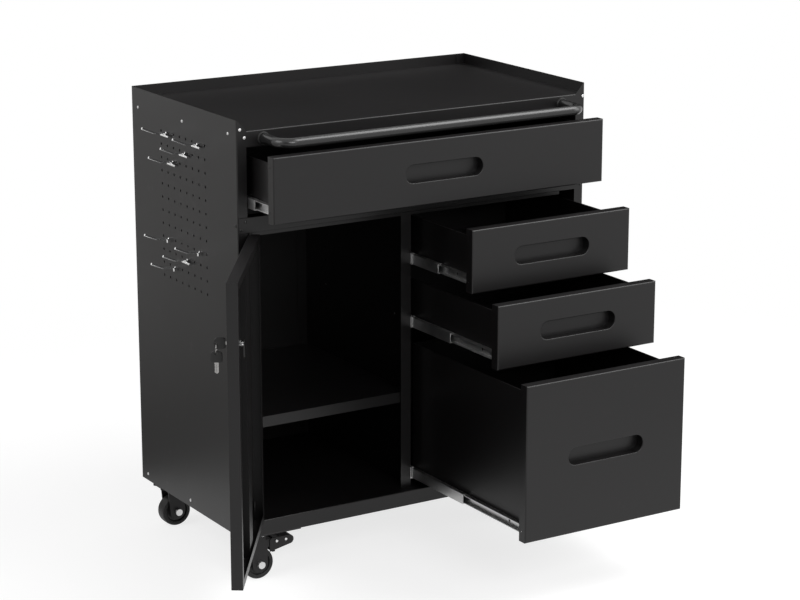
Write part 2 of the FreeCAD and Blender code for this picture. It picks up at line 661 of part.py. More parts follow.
def back_panel():
    """Cut the flat back, which closes the cabinet from outside and stands as high as the sides."""
    body = new_body("back_panel")
    edge = half_width - back_margin
    pad(body, "XZ_Plane", sheet_front, back_face, rectangle, -edge, edge, floor_clearance, panel_top)


def wing(body, side, near, start, end, low, top):
    """Add a level wing out to the side panel's web, with an edge folded down along the web."""
    web = (half_width - skin) * side
    web_inside = (half_width - skin * 2) * side
    join = near * side
    under = top - skin
    outline = [(web, top), (join, top), (join, under), (web_inside, under), (web_inside, low), (web, low)]
    pad(body, "XZ_Plane", start, end, polygon, outline)


def worktop():
    """Fold the worktop: level sheet, header with its return, rear flange and the two wings."""
    body = new_body("worktop")
    top = worktop_level
    rear = sheet_front
    profile = [(front_face, top), (front_face, header_bottom), (front_face + header_return, header_bottom),
               (front_face + header_return, header_bottom + skin), (front_face + skin, header_bottom + skin),
               (front_face + skin, top - skin), (rear - skin, top - skin), (rear - skin, top - wing_flange),
               (rear, top - wing_flange), (rear, top)]
    pad(body, "YZ_Plane", -mount_face, mount_face, polygon, profile)
    for side in (-1, 1):
        wing(body, side, mount_face, front_face + skin, flange_front, top - wing_drop, top)
        drill_side(body, side, side_screws_top)
    legs = [(-handle_half, handle_level), (handle_half, handle_level)]
    pocket(body, "XZ_Plane", front_face - skin, front_face + skin * 2, circles, legs,
           handle_screw_radius + screw_play)

    def header_bend(spot, edge):
        return abs(spot.y - float(front_face)) < 0.01 and edge.Length > float(half_width)

    round_edges(body, bend_radius, header_bend)


def middle_rail():
    """Fold the rail between the top drawer and the compartments below it."""
    body = new_body("middle_rail")
    face = front_face - skin
    inside = front_face
    back = front_face + rail_return
    channel_outline = [(face, rail_low), (back, rail_low), (back, rail_low + skin), (inside, rail_low + skin),
                       (inside, rail_high - skin), (back, rail_high - skin), (back, rail_high),
                       (face, rail_high)]
    pad(body, "YZ_Plane", -mount_face, mount_face, polygon, channel_outline)
    tab = half_width - rail_tab_margin
    pad(body, "XZ_Plane", face, inside, rectangle, -tab, tab, rail_low, rail_high)
    lip = [(back, rail_low + skin), (back, rail_low - rail_lip), (back + skin, rail_low - rail_lip),
           (back + skin, rail_low + skin)]
    lip_end = mount_face - rail_lip_inset
    pad(body, "YZ_Plane", -lip_end, lip_end, polygon, lip)
    places = [(across * side, level) for side in (-1, 1) for across, level in tab_screws]
    pocket(body, "XZ_Plane", face - skin, inside + skin / 2, circles, places, screw_hole)
    pocket(body, "XY_Plane", rail_low - skin, rail_low + skin * 2, circles, [(pivot_x, pivot_y)],
           pin_radius + fixed_play)

    def face_bend(spot, edge):
        return abs(spot.y - float(face)) < 0.01 and edge.Length > float(half_width)

    round_edges(body, bend_radius / 2, face_bend)


def base_pan():
    """Fold the cabinet's floor with the bottom rail at its front."""
    body = new_body("base_pan")
    low = floor_clearance
    top = base_top
    rear = sheet_front
    profile = [(front_face, top), (front_face, low), (front_face + base_return, low),
               (front_face + base_return, low + skin), (front_face + skin, low + skin),
               (front_face + skin, top - skin), (rear - skin, top - skin), (rear - skin, low + skin),
               (rear - base_return, low + skin), (rear - base_return, low), (rear, low), (rear, top)]
    pad(body, "YZ_Plane", -mount_face, mount_face, polygon, profile)
    front_return = front_face + flange_return
    rear_return = back_face - flange_return
    folded = top - wing_flange
    for side in (-1, 1):
        wing(body, side, mount_face, front_return, rear_return, folded, top)
        wing(body, side, mount_face + skin, front_face + skin, front_return, folded, top)
        wing(body, side, mount_face + skin, rear_return, flange_front, folded, top)
        drill_side(body, side, side_screws_low)
    pocket(body, "XY_Plane", top - skin * 2, top + skin, circles, [(pivot_x, pivot_y)],
           pin_radius + fixed_play)

    def rail_bend(spot, edge):
        return abs(spot.y - float(front_face)) < 0.01 and edge.Length > float(half_width)

    round_edges(body, bend_radius, rail_bend)


def centre_divider():
    """Fold the upright between the door compartment and the drawers."""
    body = new_body("centre_divider")
    left = -divider_flange
    web = -skin
    rear = sheet_front
    plan = [(nothing, divider_front), (nothing, rear), (left, rear), (left, rear - skin), (web, rear - skin),
            (web, divider_front + skin), (left, divider_front + skin), (left, divider_front)]
    pad(body, "XY_Plane", base_top, rail_high, polygon, plan)
    first = floor_clearance + shelf_hole_first
    holes = pocket(body, "YZ_Plane", web - skin, skin, circles,
                   [(-divider_hole_place, first), (divider_hole_place, first)], shelf_hole_radius)
    repeat(body, holes, [("Z_Axis", shelf_hole_pitch, shelf_hole_count)])


def shelf():
    """Fold the shelf behind the door, with a lip at its front and its back."""
    body = new_body("shelf")
    front = front_face + shelf_setback
    rear = flange_front - shelf_gap
    low = shelf_top - shelf_lip
    wall = shelf_sheet
    profile = [(front, shelf_top), (front, low), (front + shelf_return, low),
               (front + shelf_return, low + wall), (front + wall, low + wall),
               (front + wall, shelf_top - wall), (rear - wall, shelf_top - wall),
               (rear - wall, low), (rear, low), (rear, shelf_top)]
    pad(body, "YZ_Plane", -mount_face + shelf_gap, -skin - shelf_gap, polygon, profile)


def shelf_clips():
    """Bend four clips, each with a peg in a shelf hole and a ledge under the shelf."""
    level = floor_clearance + shelf_hole_first
    under = shelf_top - shelf_sheet
    clips = []
    for wall, inward, place in ((-mount_face, 1, panel_hole_place), (-skin, -1, divider_hole_place)):
        for side in (-1, 1):
            middle = place * side
            near = middle - clip_width / 2
            far = middle + clip_width / 2
            span = sorted([float(wall), float(wall + clip_reach * inward)])
            ledge = Part.makeBox(span[1] - span[0], float(clip_width), float(clip_ledge),
                                 Vector(span[0], float(near), float(under - clip_ledge)))
            span = sorted([float(wall), float(wall + clip_ledge * inward)])
            drop = float(level - shelf_hole_radius * 2)
            plate = Part.makeBox(span[1] - span[0], float(far - near), float(under) - drop,
                                 Vector(span[0], float(near), drop))
            peg = rod(shelf_hole_radius - fixed_play, (wall, middle, level),
                      (wall - skin * 2 * inward, middle, level))
            clips.append(ledge.fuse([plate, peg]).removeSplitter())
    finished("shelf_clips", Part.makeCompound(clips))


def handle_path(sketch, half_span, start, run, bend):
    """Draw the handle's middle line: two legs, two quarter bends and the run between them."""
    legs = []
    for side in (-1, 1):
        foot = Vector(float(half_span) * side, float(start), 0)
        knee = Vector(float(half_span) * side, float(run + bend), 0)
        legs.append(sketch.addGeometry(Part.LineSegment(foot, knee)))
        pin_point(sketch, legs[-1], 1, half_span * side, start)
        pin_point(sketch, legs[-1], 2, half_span * side, run + bend)
    low = Vector(-float(half_span - bend), float(run), 0)
    high = Vector(float(half_span - bend), float(run), 0)
    middle = sketch.addGeometry(Part.LineSegment(low, high))
    pin_point(sketch, middle, 1, -(half_span - bend), run)
    pin_point(sketch, middle, 2, half_span - bend, run)
    for side, leg in ((-1, legs[0]), (1, legs[1])):
        centre = Vector(float(half_span - bend) * side, float(run + bend), 0)
        circle = Part.Circle(centre, Vector(0, 0, 1), float(bend))
        begin = math.pi if side < 0 else 1.5 * math.pi
        arc = sketch.addGeometry(Part.ArcOfCircle(circle, begin, begin + math.pi / 2))
        at_leg, at_run = (1, 2) if side < 0 else (2, 1)
        sketch.addConstraint(Sketcher.Constraint("Coincident", arc, at_leg, leg, 2))
        sketch.addConstraint(Sketcher.Constraint("Coincident", arc, at_run, middle, 1 if side < 0 else 2))
        set_radius(sketch, arc, bend)


def push_handle():
    """Bend the tubular handle across the front and tap its two ends."""
    body = new_body("push_handle")
    path = new_sketch(body, "XY_Plane", handle_level)
    handle_path(path, handle_half, front_face, front_face - handle_reach, handle_bend)
    section = new_sketch(body, "XZ_Plane", -front_face)
    circles(section, [(-handle_half, handle_level)], handle_radius)
    document.recompute()
    tube = body.newObject("PartDesign::AdditivePipe", "tube")
    tube.Profile = section
    tube.Spine = path
    pocket(body, "XZ_Plane", front_face - handle_screw_length, front_face, circles,
           [(-handle_half, handle_level), (handle_half, handle_level)], handle_screw_radius + screw_play)


def handle_fixings():
    """Make the rings at the handle's legs and the screws that hold it from inside the header."""
    level = handle_level
    inside = front_face + skin
    rings = []
    screws = []
    for side in (-1, 1):
        leg = handle_half * side
        seat = (leg, front_face, level)
        edge = (leg, front_face - collar_length, level)
        rings.append(rod(collar_radius, seat, edge).cut(rod(handle_radius + fixed_play, seat, edge)))
        shank = rod(handle_screw_radius, (leg, inside, level), (leg, inside - handle_screw_length, level))
        head = rod(handle_screw_head, (leg, inside, level), (leg, inside + handle_screw_radius, level))
        screws.append(shank.fuse(head))
    finished("handle_collars", Part.makeCompound(rings))
    finished("handle_screws", Part.makeCompound(screws))


def screw(x, y, z, outward, length):
    """Make one pan-head screw that stands on a face and points into the cabinet."""
    seat = at(x, y, z)
    head = Part.makeCylinder(float(screw_head_radius), float(screw_head_height), seat, outward)
    rim = [edge for edge in head.Edges if edge.Closed
           and (edge.CenterOfMass - seat).Length > float(screw_head_height) / 2]
    head = head.makeChamfer(float(screw_chamfer), rim)
    shank = Part.makeCylinder(float(screw_radius), float(length), seat, outward * -1)
    return head.fuse(shank)


def all_screws():
    """Set the zinc screws of the sides and flanges, and the black ones of the middle rail."""
    zinc = []
    black = []
    forward = Vector(0, -1, 0)
    for side in (-1, 1):
        outward = Vector(side, 0, 0)
        for y, z in side_screws_top + side_screws_low:
            zinc.append(screw(half_width * side, y, z, outward, screw_length))
        y, z = side_screw_rail
        black.append(screw(half_width * side, y, z, outward, screw_length))
        for x, z in tab_screws:
            black.append(screw(x * side, front_face - skin, z, forward, screw_length))
    for x, z in flange_screws_left + flange_screws_right:
        zinc.append(screw(x, front_face, z, forward, skin))
    finished("panel_screws", Part.makeCompound(zinc))
    finished("rail_screws", Part.makeCompound(black))


def bent_wire(points, radius, bend):
    """Sweep a round wire along straight runs joined by tangent arcs."""
    spots = [at(*point) for point in points]
    edges = []
    start = spots[0]
    for before, corner, after in zip(spots, spots[1:], spots[2:]):
        into = (corner - before).normalize()
        out = (after - corner).normalize()
        turn = into.getAngle(out)
        radius_here = float(bend)
        cut = radius_here * math.tan(turn / 2)
        begin = corner - into * cut
        end = corner + out * cut
        middle = corner + (out - into).normalize() * (radius_here / math.cos(turn / 2) - radius_here)
        edges.append(Part.LineSegment(start, begin).toShape())
        edges.append(Part.Arc(begin, middle, end).toShape())
        start = end
    edges.append(Part.LineSegment(start, spots[-1]).toShape())
    path = Part.Wire(edges)
    first = (spots[1] - spots[0]).normalize()
    section = Part.Wire(Part.makeCircle(float(radius), spots[0], first))
    return path.makePipeShell([section], True, False)


def tool_hook(y, z):
    """Bend one tool hook: a prong that rises to its tip, and a cross that bears on the panel."""
    face = -half_width
    stand = face - hook_stand
    prong = bent_wire([(stand, y, z), (face - hook_bend_place, y, z + prong_start_rise),
                       (face - hook_reach, y, z + hook_rise)], hook_wire, prong_bend)
    cross = z - hook_cross_drop
    upright = bent_wire([(stand, y, cross - hook_foot), (stand, y, z), (face + hook_tail, y, z)],
                        hook_wire, hook_bend)
    bar = rod(hook_wire, (stand, y - hook_cross / 2, cross), (stand, y + hook_cross / 2, cross))
    return prong.fuse(upright).fuse(bar)


def pegboard_hooks():
    """Hang the eight hooks in their holes, each group of four on a slope, given by column and row."""
    first_column = -hole_rows_width / 2
    hooks = []
    for group in (nothing, hook_group_rows):
        for column, row in ((1, 0), (3, 1), (5, 2), (6, 0)):
            y = first_column + hook_pitch * column
            z = hook_top_row - hook_pitch * (group + row)
            hooks.append(tool_hook(y, z))
    finished("pegboard_hooks", Part.makeCompound(hooks))


# Drawers: left and right side of the opening, front's lower edge and height, and the pull at rest
drawers = {
    "top": (-mount_face, mount_face, top_front_low, top_front_height, top_pull),
    "upper": (nothing, mount_face, upper_front_low, upper_front_height, upper_pull),
    "middle": (nothing, mount_face, middle_front_low, middle_front_height, middle_pull),
    "lower": (nothing, mount_face, lower_front_low, lower_front_height, lower_pull),
}


def drawer_front(name, left, right, low, height, pull):
    """Press one drawer front: a shallow pan, open behind, with a long pull recess in its middle."""
    body = new_body(name + "_drawer_front")
    high = low + height
    begin = left + drawer_gap
    end = right - drawer_gap
    face = front_face - pull
    back = face + front_depth
    wall = front_sheet
    pad(body, "XZ_Plane", face, back, rectangle, begin, end, low, high)

    def outer_edges(spot, edge):
        return abs(spot.y - float(face)) < 0.01

    round_edges(body, front_edge_radius, outer_edges)
    pocket(body, "XZ_Plane", face + wall, back, rectangle, begin + wall, end - wall, low + wall, high - wall)
    hole_place = face + front_hole_setback
    ends = [(hole_place, low + front_hole_inset), (hole_place, high - front_hole_inset)]
    pocket(body, "YZ_Plane", begin - wall, end + wall, circles, ends, front_hole_radius)
    middle = (begin + end) / 2
    level = (low + high) / 2
    inside = face + wall / 2
    pad(body, "XZ_Plane", inside, face + recess_rim, obround,
        middle, level, recess_width + recess_rim * 2, recess_height + recess_rim * 2)
    pad(body, "XZ_Plane", inside, face + recess_depth + wall, obround,
        middle, level, recess_width + wall * 2, recess_height + wall * 2)
    pocket(body, "XZ_Plane", face, face + recess_depth, obround, middle, level, recess_width, recess_height)

    def recess_mouth(spot, edge):
        return (abs(spot.y - float(face)) < 0.01 and abs(spot.z - float(level)) < float(recess_height)
                and abs(spot.x - float(middle)) < float(recess_width))

    round_edges(body, recess_rounding, recess_mouth)


def drawer_tray(name, left, right, low, height, pull):
    """Fold one drawer tray, open on top, with a hem round its rim."""
    body = new_body(name + "_drawer_tray")
    floor = low + tray_above_edge
    rim = low + height - tray_below_top
    begin = left + slide_space
    end = right - slide_space
    near = front_face - pull + front_depth
    far = near + tray_length
    wall = tray_sheet
    pad(body, "XY_Plane", floor, rim, rectangle, begin, end, near, far)
    pocket(body, "XY_Plane", floor + wall, rim, rectangle, begin + wall, end - wall, near + wall, far - wall)
    pad(body, "XY_Plane", rim - tray_hem_height, rim, frame_outline, begin, end, near, far, tray_hem_width)


def channel(mount, toward, web, lip, half, level, near):
    """Give one slide member: a channel whose web stands at one distance from the mounting face
    and whose lips reach to another, both counted towards the drawer."""
    back = float(web)
    reach = float(lip)
    wall = float(skin) if reach > back else -float(skin)
    tall = float(half)
    points = [(back, -tall), (reach, -tall), (reach, -tall + abs(wall)), (back + wall, -tall + abs(wall)),
              (back + wall, tall - abs(wall)), (reach, tall - abs(wall)), (reach, tall), (back, tall),
              (back, -tall)]
    corners = [Vector(float(mount) + across * toward, float(near), float(level) + up)
               for across, up in points]
    return Part.Face(Part.makePolygon(corners)).extrude(Vector(0, float(slide_length), 0))


outer_members = []


def drawer_slides(name, left, right, low, height, pull):
    """Make the three members of both slides of one drawer, drawn out by the share each one travels."""
    level = low + slide_level
    half = slide_height / 2
    closed = front_face + slide_setback
    middle = []
    inner = []
    for mount, toward in ((left, 1), (right, -1)):
        outer_members.append(channel(mount, toward, nothing, slide_outer_reach, half, level, closed))
        middle.append(channel(mount, toward, slide_middle_start, slide_middle_reach, half - slide_step,
                              level, closed - pull / 2))
        member = channel(mount, toward, slide_space, slide_inner_start, half - slide_step * 2,
                         level, closed - pull)
        hole_y = closed - pull + slide_hole_place
        hole = rod(slide_hole_radius, (mount, hole_y, level), (mount + slide_space * toward, hole_y, level))
        inner.append(member.cut(hole))
    finished(name + "_slide_middle", Part.makeCompound(middle))
    finished(name + "_slide_inner", Part.makeCompound(inner))


# Door: modelled closed, then swung open about its pins
lock_x = door_right - lock_inset
lock_z = door_high - lock_drop
cam_front = divider_front + skin + cam_play


def swing_open(piece):
    """Turn a piece that was modelled on the closed door about the hinge axis."""
    turn = Rotation(Vector(0, 0, 1), -float(door_open_angle))
    piece.Placement = Placement(Vector(0, 0, 0), turn, at(pivot_x, pivot_y, 0)).multiply(piece.Placement)


def door_panel():
    """Fold the door: outer face, four edges and a flange round its inner side."""
    body = new_body("door_panel")
    back = front_face + door_depth
    wall = door_sheet
    pad(body, "XZ_Plane", front_face, back, rectangle, door_left, door_right, door_low, door_high)

    def outer_edges(spot, edge):
        return abs(spot.y - float(front_face)) < 0.01

    round_edges(body, wall, outer_edges)
    pocket(body, "XZ_Plane", front_face + wall, back - wall, rectangle,
           door_left + wall, door_right - wall, door_low + wall, door_high - wall)
    pocket(body, "XZ_Plane", back - wall, back, rectangle, door_left + door_flange, door_right - door_flange,
           door_low + door_flange, door_high - door_flange)
    pocket(body, "XZ_Plane", front_face, front_face + wall, circles, [(lock_x, lock_z)],
           lock_radius + fixed_play)
    pin_hole = pin_radius + running_play
    pocket(body, "XY_Plane", door_low, door_low + wall, circles, [(pivot_x, pivot_y)], pin_hole)
    pocket(body, "XY_Plane", door_high - wall, door_high, circles, [(pivot_x, pivot_y)], pin_hole)
    return body


def door_stiffener():
    """Fold the hat-shaped upright that stiffens the door from inside."""
    body = new_body("door_stiffener")
    middle = (door_left + door_right) / 2
    seat = front_face + door_sheet
    crown = seat + stiffener_depth
    wall = door_sheet
    half = stiffener_width / 2
    outer = half + stiffener_flange
    plan = [(middle - outer, seat), (middle - half + wall, seat), (middle - half + wall, crown - wall),
            (middle + half - wall, crown - wall), (middle + half - wall, seat), (middle + outer, seat),
            (middle + outer, seat + wall), (middle + half, seat + wall), (middle + half, crown),
            (middle - half, crown), (middle - half, seat + wall), (middle - outer, seat + wall)]
    pad(body, "XY_Plane", door_low + door_sheet, door_high - door_sheet, polygon, plan)
    return body


def hinge_pins():
    """Set the two hinge pins, each with a collar that keeps the door off its rail."""
    lower = rod(pin_radius, (pivot_x, pivot_y, base_top - skin * 3), (pivot_x, pivot_y, door_low + pin_rise))
    lower_collar = rod(pin_collar_radius, (pivot_x, pivot_y, base_top),
                       (pivot_x, pivot_y, door_low - pin_collar_play))
    upper = rod(pin_radius, (pivot_x, pivot_y, door_high - pin_rise), (pivot_x, pivot_y, rail_low + skin * 3))
    upper_collar = rod(pin_collar_radius, (pivot_x, pivot_y, door_high + pin_collar_play),
                       (pivot_x, pivot_y, rail_low))
    finished("hinge_pins", Part.makeCompound([lower.fuse(lower_collar), upper.fuse(upper_collar)]))


def lock_and_keys():
    """Make the cam lock, the key in it, and the ring with the spare key that hangs from the key."""
    outer_end = front_face - lock_flange
    inner_end = cam_front - cam_play / 2
    housing_end = front_face + door_depth
    body = rod(lock_radius, (lock_x, front_face, lock_z), (lock_x, housing_end, lock_z))
    rim = rod(lock_flange_radius, (lock_x, outer_end, lock_z), (lock_x, front_face, lock_z))
    bore = rod(lock_core_radius + running_play, (lock_x, outer_end, lock_z), (lock_x, housing_end, lock_z))
    housing = finished("lock_housing", body.fuse(rim).cut(bore))
    seat = front_face + door_sheet
    nut = hexagon(lock_nut_width, (lock_x, seat, lock_z), (lock_x, seat + lock_nut_height, lock_z))
    nut = nut.cut(rod(lock_radius + fixed_play, (lock_x, seat, lock_z),
                      (lock_x, seat + lock_nut_height, lock_z)))
    nut = finished("lock_nut", nut)

    plug = rod(lock_core_radius, (lock_x, outer_end, lock_z), (lock_x, cam_front, lock_z))
    slot_depth = key_blade_length - key_neck
    half_sheet = key_sheet / 2
    half_blade = key_blade_width / 2
    side_room = half_sheet + fixed_play
    edge_room = half_blade + fixed_play
    slot = block((lock_x - side_room, outer_end, lock_z - edge_room),
                 (lock_x + side_room, outer_end + slot_depth + fixed_play, lock_z + edge_room))
    core = finished("lock_core", plug.cut(slot))
    cam = block((lock_x - cam_width / 2, cam_front, lock_z - cam_length),
                (lock_x + cam_width / 2, cam_front + cam_sheet, lock_z))
    cam = cam.fuse(rod(cam_eye_radius, (lock_x, cam_front, lock_z), (lock_x, cam_front + cam_sheet, lock_z)))
    cam = finished("lock_cam", cam.removeSplitter())

    blade = block((lock_x - half_sheet, outer_end - key_neck - key_head_radius, lock_z - half_blade),
                  (lock_x + half_sheet, outer_end + slot_depth, lock_z + half_blade))
    head_y = outer_end - key_neck - key_head_radius
    half_head = key_head_sheet / 2
    head = rod(key_head_radius, (lock_x - half_head, head_y, lock_z), (lock_x + half_head, head_y, lock_z))
    hole_y = head_y - key_head_radius + key_hole_edge
    hole = rod(key_hole_radius, (lock_x - key_head_sheet, hole_y, lock_z),
               (lock_x + key_head_sheet, hole_y, lock_z))
    first_key = finished("door_key", blade.fuse(head).cut(hole))

    ring_z = lock_z - key_hole_radius + ring_wire + ring_play - ring_radius
    ring = Part.makeTorus(float(ring_radius), float(ring_wire), at(lock_x, hole_y, ring_z), Vector(0, 1, 0))
    ring = finished("key_ring", ring)

    spare_hole = ring_z - ring_radius - key_hole_radius + ring_wire + ring_play
    spare_head = spare_hole - key_head_radius + key_hole_edge
    tip = spare_head - key_head_radius - key_blade_length
    bar = block((lock_x - half_sheet, hole_y - half_blade, tip),
                (lock_x + half_sheet, hole_y + half_blade, spare_head))
    disc = rod(key_head_radius, (lock_x - half_head, hole_y, spare_head),
               (lock_x + half_head, hole_y, spare_head))
    eye = rod(key_hole_radius, (lock_x - key_head_sheet, hole_y, spare_hole),
              (lock_x + key_head_sheet, hole_y, spare_hole))
    spare = finished("spare_key", bar.fuse(disc).cut(eye))
    return [housing, nut, core, cam, first_key, ring, spare]


# Casters: drawn about their own swivel axis with the wheel trailing towards +X, then set in place
plate_top = floor_clearance - support_sheet
plate_low = plate_top - plate_sheet
race_low = plate_low - race_height
crown_top = race_low - swivel_gap
crown_low = crown_top - fork_sheet
cheek_in = fork_inside / 2
cheek_out = cheek_in + fork_sheet
CORNERS = [(side, row) for side in (-1, 1) for row in (-1, 1)]


def bolt_places(x, y):
    """Give the four bolt places round one swivel axis."""
    return [(x + bolt_span / 2 * step_x, y + bolt_reach / 2 * step_y)
            for step_x in (-1, 1) for step_y in (-1, 1)]


def place_caster(piece, side, row):
    """Move a caster's piece from its own axes to its corner; right-hand casters trail inwards too."""
    turn = Rotation(Vector(0, 0, 1), 0 if side < 0 else 180)
    spot = at(caster_side_place * side, caster_depth_place * row, 0)
    piece.Placement = Placement(spot, turn)
    tie(piece, "Placement.Base.x", caster_side_place * side)
    tie(piece, "Placement.Base.y", caster_depth_place * row)


def caster_plates():
    """Make the four fixed plates, each with its race and a kingpin whose head holds the fork's crown."""
    plates = []
    for side, row in CORNERS:
        x = caster_side_place * side
        y = caster_depth_place * row
        plate = block((x - plate_width / 2, y - plate_depth / 2, plate_low),
                      (x + plate_width / 2, y + plate_depth / 2, plate_top))
        race = rod(race_radius, (x, y, race_low), (x, y, plate_low))
        pin = rod(kingpin_radius, (x, y, crown_low - swivel_gap), (x, y, race_low))
        head_top = crown_low - swivel_gap
        head = rod(kingpin_head_radius, (x, y, head_top - kingpin_head), (x, y, head_top))
        plate = plate.fuse([race, pin, head])
        for bolt_x, bolt_y in bolt_places(x, y):
            plate = plate.cut(rod(bolt_radius + fixed_play, (bolt_x, bolt_y, plate_low),
                                  (bolt_x, bolt_y, plate_top)))
        plates.append(plate)
    finished("caster_plates", Part.makeCompound(plates))


def open_outline(sketch, points, centre, radius, begin, pinned):
    """Draw straight lines through the points and close them with a half circle."""
    spots = [Vector(float(across), float(up), 0) for across, up in points]
    first = sketch.GeometryCount
    for start, end in zip(spots, spots[1:]):
        sketch.addGeometry(Part.LineSegment(start, end))
    last = sketch.GeometryCount - 1
    for index in range(first, last):
        sketch.addConstraint(Sketcher.Constraint("Coincident", index, 2, index + 1, 1))
    for index, (across, up) in enumerate(points[:-1]):
        pin_point(sketch, first + index, 1, across, up)
    pin_point(sketch, last, 2, *points[-1])
    middle = Vector(float(centre[0]), float(centre[1]), 0)
    circle = Part.Circle(middle, Vector(0, 0, 1), float(radius))
    arc = sketch.addGeometry(Part.ArcOfCircle(circle, begin, begin + math.pi))
    sketch.addConstraint(Sketcher.Constraint("Coincident", arc, 1, last, 2))
    sketch.addConstraint(Sketcher.Constraint("Coincident", arc, 2, first, 1))
    pin_one_way(sketch, pinned, arc, 3, centre[0] if pinned == "DistanceX" else centre[1])


def cheek_outline(sketch, trail, low, high, braked):
    """Draw one cheek: a round foot at the axle, an upright, the crown's end and, on a braked caster,
    an arm that carries the pedal."""
    right = trail + cheek_radius
    points = [(right, low)]
    if braked:
        pivot = pedal_pivot_level
        end = pedal_pivot_reach + arm_radius
        half_end = arm_radius / 2
        points += [(right, low + arm_root), (pedal_pivot_reach, pivot - arm_radius), (end, pivot - half_end),
                   (end, pivot + half_end), (pedal_pivot_reach, pivot + arm_radius),
                   (fork_tail, pivot + arm_radius)]
    else:
        points += [(right, high - cheek_shoulder - cheek_slope), (fork_tail, high - cheek_shoulder)]
    points += [(fork_tail, high), (-fork_lead, high), (-fork_lead, high - crown_edge),
               (-cheek_neck, high - crown_edge * 2), (trail - cheek_radius, low)]
    open_outline(sketch, points, (trail, low), cheek_radius, math.pi, "DistanceY")


def caster_fork(label, braked):
    """Fold the fork: a crown turned by the kingpin and two cheeks that hold the axle."""
    body = new_body(label)
    pad(body, "XY_Plane", crown_low, crown_top, rectangle, -fork_lead, fork_tail, -cheek_out, cheek_out)
    for low, high in ((-cheek_out, -cheek_in), (cheek_in, cheek_out)):
        pad(body, "XZ_Plane", low, high, cheek_outline, caster_trail, wheel_radius, crown_top, braked)
    pocket(body, "XY_Plane", crown_low, crown_top, circles, [(nothing, nothing)],
           kingpin_radius + running_play)
    pocket(body, "XZ_Plane", -cheek_out, cheek_out, circles, [(caster_trail, wheel_radius)],
           axle_radius + fixed_play)
    if braked:
        end = cheek_out + pedal_gap * 2 + pedal_sheet
        spot = [(pedal_pivot_reach, pedal_pivot_level)]
        pad(body, "XZ_Plane", -end, end, circles, spot, pedal_pin_radius)
        for low, high in ((-end - pin_head, -end), (end, end + pin_head)):
            pad(body, "XZ_Plane", low, high, circles, spot, pin_head_radius)
    return body


def turned(body, points):
    """Revolve a closed outline of radius and place about the body's own Z axis."""
    sketch = new_sketch(body, "XZ_Plane", 0)
    polygon(sketch, points)
    feature = body.newObject("PartDesign::Revolution", "turning")
    feature.Profile = sketch
    feature.ReferenceAxis = (sketch, ["V_Axis"])
    feature.Angle = 360
    return feature


def caster_wheel(label):
    """Turn the wheel: tread with rounded edges, a dish in each side and the hub with its bore."""
    body = new_body(label)
    half = wheel_width / 2
    hub = hub_width / 2
    bore = axle_radius + running_play
    rim = wheel_radius - wheel_rim
    floor = half - wheel_dish
    points = [(bore, -hub), (hub_radius, -hub), (hub_radius, -floor), (rim, -floor), (rim, -half),
              (wheel_radius - wheel_crown, -half), (wheel_radius, -half + wheel_crown),
              (wheel_radius, half - wheel_crown), (wheel_radius - wheel_crown, half), (rim, half),
              (rim, floor), (hub_radius, floor), (hub_radius, hub), (bore, hub)]
    turned(body, points)
    return body


def caster_axle(label):
    """Turn the axle with its two heads."""
    body = new_body(label)
    end = cheek_out
    points = [(nothing, -end - axle_head), (axle_head_radius, -end - axle_head), (axle_head_radius, -end),
              (axle_radius, -end), (axle_radius, end), (axle_head_radius, end),
              (axle_head_radius, end + axle_head), (nothing, end + axle_head)]
    turned(body, points)
    return body


# Pedal: its round tip, its upper edge and its heel
tip_x = pedal_reach - pedal_tip_radius
tip_z = pedal_pivot_level - pedal_tip_drop
pedal_high = tip_z + pedal_tip_radius
heel_x = pedal_pivot_reach - pedal_heel_reach
heel_z = pedal_pivot_level - pedal_heel_drop


def pedal_outline(sketch):
    """Draw the pedal's side: level on top, a round tip, and a straight lower edge down to its heel."""
    points = [(tip_x, pedal_high), (heel_x + pedal_heel_rise, pedal_high),
              (heel_x, pedal_high - pedal_heel_rise), (heel_x, heel_z), (tip_x, tip_z - pedal_tip_radius)]
    open_outline(sketch, points, (tip_x, tip_z), pedal_tip_radius, -math.pi / 2, "DistanceX")


def brake_pedal(label):
    """Fold the brake pedal: two side flanges, the tread and round end between them, and the shoe."""
    body = new_body(label)
    inside = cheek_out + pedal_gap
    outside = inside + pedal_sheet
    below = heel_z - pedal_sheet
    tread = pedal_pivot_reach + pedal_tread_start
    pad(body, "XZ_Plane", -outside, outside, pedal_outline)
    pocket(body, "XZ_Plane", -inside, inside, rectangle, heel_x - pedal_sheet, tread, below,
           pedal_high + pedal_sheet)
    pocket(body, "XZ_Plane", -inside, inside, rectangle, tread - pedal_sheet, tip_x, below,
           pedal_high - pedal_sheet)
    pocket(body, "XZ_Plane", -inside, inside, circles, [(tip_x, tip_z)], pedal_tip_radius - pedal_sheet)
    shoe_x = pedal_pivot_reach - shoe_reach
    shoe_z = pedal_pivot_level - shoe_drop
    shoe_end = inside + pedal_sheet / 2
    pad(body, "XZ_Plane", -shoe_end, shoe_end, rectangle, shoe_x, shoe_x + shoe_side,
        shoe_z, shoe_z + shoe_side)
    pocket(body, "XZ_Plane", -outside, outside, circles, [(pedal_pivot_reach, pedal_pivot_level)],
           pedal_pin_radius + running_play)
    return body


def lay_on_axis(piece, side, row, across, level):
    """Set a turned piece with its axis along Y at one point of a caster."""
    turn = Rotation(Vector(0, 0, 1), 0 if side < 0 else 180)
    piece.Placement = Placement(at(caster_side_place * side - across * side, caster_depth_place * row, level),
                                turn.multiply(Rotation(Vector(1, 0, 0), 90)))
    tie(piece, "Placement.Base.x", caster_side_place * side - across * side)
    tie(piece, "Placement.Base.y", caster_depth_place * row)
    tie(piece, "Placement.Base.z", level)


